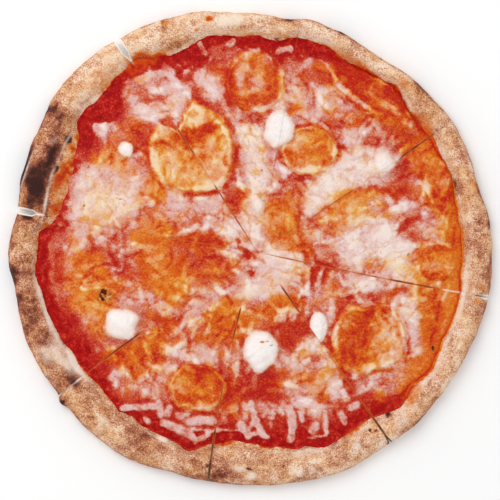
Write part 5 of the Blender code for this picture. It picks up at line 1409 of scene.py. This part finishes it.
class PizzaShape(bpy.types.PropertyGroup):
    """Sizes that a user may change."""

    rim_lift: bpy.props.FloatProperty(
        name="Rim rise", description="How high the rim has risen, as a multiple",
        default=1.0, min=0.6, max=1.3)
    sauce_film: bpy.props.FloatProperty(
        name="Sauce", description="Thickness of the sauce", default=1.0 * MM, unit="LENGTH")
    cheese_rise: bpy.props.FloatProperty(
        name="Cheese relief", description="Depth of the cheese's relief, as a multiple",
        default=1.0, min=0.5, max=1.4)
    plumpness: bpy.props.FloatProperty(
        name="Dollops", description="Height of the dollops, as a multiple",
        default=1.0, min=0.5, max=1.2)


class StudioLook(bpy.types.PropertyGroup):
    """The floor, the light and the camera."""

    floor: bpy.props.FloatVectorProperty(
        name="Floor", description="Colour of the floor", subtype="COLOR",
        default=(0.96, 0.96, 0.96), size=3)
    camera_height: bpy.props.FloatProperty(
        name="Camera height", description="Distance of the camera above the table",
        default=1.5, unit="LENGTH")
    view_width: bpy.props.FloatProperty(
        name="View width", description="Width that the picture covers", default=0.33333, unit="LENGTH")
    key_light: bpy.props.FloatProperty(name="Key light", description="Power of the large lamp", default=8.0)
    fill_light: bpy.props.FloatProperty(name="Fill light", description="Light from all round", default=0.80)


class PIZZA_OT_dough(bpy.types.Operator):
    """Bake the dough of every slice"""

    bl_idname = "pizza.dough"
    bl_label = "Bake dough"

    def execute(self, context):
        for number in range(1, len(CUTS) + 1):
            make_dough(number, context.scene.pizza_shape.rim_lift)
        return {"FINISHED"}


class PIZZA_OT_sauce(bpy.types.Operator):
    """Spread the tomato sauce"""

    bl_idname = "pizza.sauce"
    bl_label = "Spread sauce"

    def execute(self, context):
        for number in range(1, len(CUTS) + 1):
            make_sauce(number, context.scene.pizza_shape.sauce_film / MM)
        return {"FINISHED"}


class PIZZA_OT_cheese(bpy.types.Operator):
    """Melt the grated cheese"""

    bl_idname = "pizza.cheese"
    bl_label = "Melt cheese"

    def execute(self, context):
        for number in range(1, len(CUTS) + 1):
            make_cheese(number, topping_fields(), context.scene.pizza_shape.cheese_rise)
        return {"FINISHED"}


class PIZZA_OT_rounds(bpy.types.Operator):
    """Lay the round slices of smoked cheese"""

    bl_idname = "pizza.rounds"
    bl_label = "Lay round slices"

    def execute(self, context):
        for name, node, number, start in ROUND_PIECES:
            make_round(name, node, number, start, topping_fields())
        return {"FINISHED"}


class PIZZA_OT_dollops(bpy.types.Operator):
    """Drop the dollops of white cheese"""

    bl_idname = "pizza.dollops"
    bl_label = "Drop dollops"

    def execute(self, context):
        for name, node, number, start in DOLLOP_PIECES:
            make_dollop(name, node, number, start, topping_fields(), context.scene.pizza_shape.plumpness)
        return {"FINISHED"}


class PIZZA_OT_studio(bpy.types.Operator):
    """Set the floor, the lights and the camera straight above"""

    bl_idname = "pizza.studio"
    bl_label = "Set studio"

    def execute(self, context):
        look = context.scene.pizza_studio
        mesh = bpy.data.meshes.new("floor")
        corners = [(x * FLOOR_HALF, y * FLOOR_HALF, 0) for x, y in ((-1, -1), (1, -1), (1, 1), (-1, 1))]
        mesh.from_pydata(corners, [], [(0, 1, 2, 3)])
        floor = bpy.data.objects.new("floor", mesh)
        floor_mix = Mixer("floor", 0.9)
        floor_mix.shader.inputs["Base Color"].default_value = (*look.floor, 1.0)
        mesh.materials.append(floor_mix.material)
        context.scene.collection.objects.link(floor)

        world = bpy.data.worlds.new("studio")
        world.use_nodes = True
        world.node_tree.nodes["Background"].inputs["Color"].default_value = (1.0, 1.0, 1.0, 1.0)
        world.node_tree.nodes["Background"].inputs["Strength"].default_value = look.fill_light
        context.scene.world = world

        lamp = bpy.data.lights.new("key", "AREA")
        lamp.size = LAMP_SIZE
        lamp.energy = look.key_light
        key = bpy.data.objects.new("key", lamp)
        key.location = LAMP_PLACE
        aim = np.array(key.location) / np.linalg.norm(key.location)
        key.rotation_euler = (math.acos(aim[2]), 0.0, math.atan2(aim[1], aim[0]) + math.pi / 2)
        context.scene.collection.objects.link(key)

        lens = bpy.data.cameras.new("camera")
        lens.lens = lens.sensor_width * look.camera_height / look.view_width
        camera = bpy.data.objects.new("camera", lens)
        right, back = CAMERA_OFFSET
        camera.location = (right * MM, back * MM, look.camera_height + 0.5 * WAIST * MM)
        context.scene.collection.objects.link(camera)
        context.scene.camera = camera
        context.scene.view_settings.view_transform = "Standard"
        return {"FINISHED"}


class PIZZA_PT_panel(bpy.types.Panel):
    """Lists the pizza's sizes and steps in the sidebar"""

    bl_label = "Cheese Pizza"
    bl_space_type = "VIEW_3D"
    bl_region_type = "UI"
    bl_category = "Pizza"

    def draw(self, context):
        column = self.layout.column()
        for group in (context.scene.pizza_shape, context.scene.pizza_studio):
            for title in group.__annotations__:
                column.prop(group, title)
        for step in STEPS:
            column.operator(step.bl_idname)


STEPS = (PIZZA_OT_studio, PIZZA_OT_dough, PIZZA_OT_sauce, PIZZA_OT_cheese, PIZZA_OT_rounds,
         PIZZA_OT_dollops)
CLASSES = (PizzaShape, StudioLook, *STEPS, PIZZA_PT_panel)


def register():
    """Makes the classes and the scene's settings known to Blender."""
    for cls in CLASSES:
        bpy.utils.register_class(cls)
    bpy.types.Scene.pizza_shape = bpy.props.PointerProperty(type=PizzaShape)
    bpy.types.Scene.pizza_studio = bpy.props.PointerProperty(type=StudioLook)


def unregister():
    """Takes the settings and the classes back out."""
    del bpy.types.Scene.pizza_studio
    del bpy.types.Scene.pizza_shape
    for cls in reversed(CLASSES):
        bpy.utils.unregister_class(cls)


def main():
    """Makes the whole pizza."""
    register()
    bpy.ops.pizza.studio()
    bpy.ops.pizza.dough()
    bpy.ops.pizza.sauce()
    bpy.ops.pizza.cheese()
    bpy.ops.pizza.rounds()
    bpy.ops.pizza.dollops()


if __name__ == "__main__":
    main()
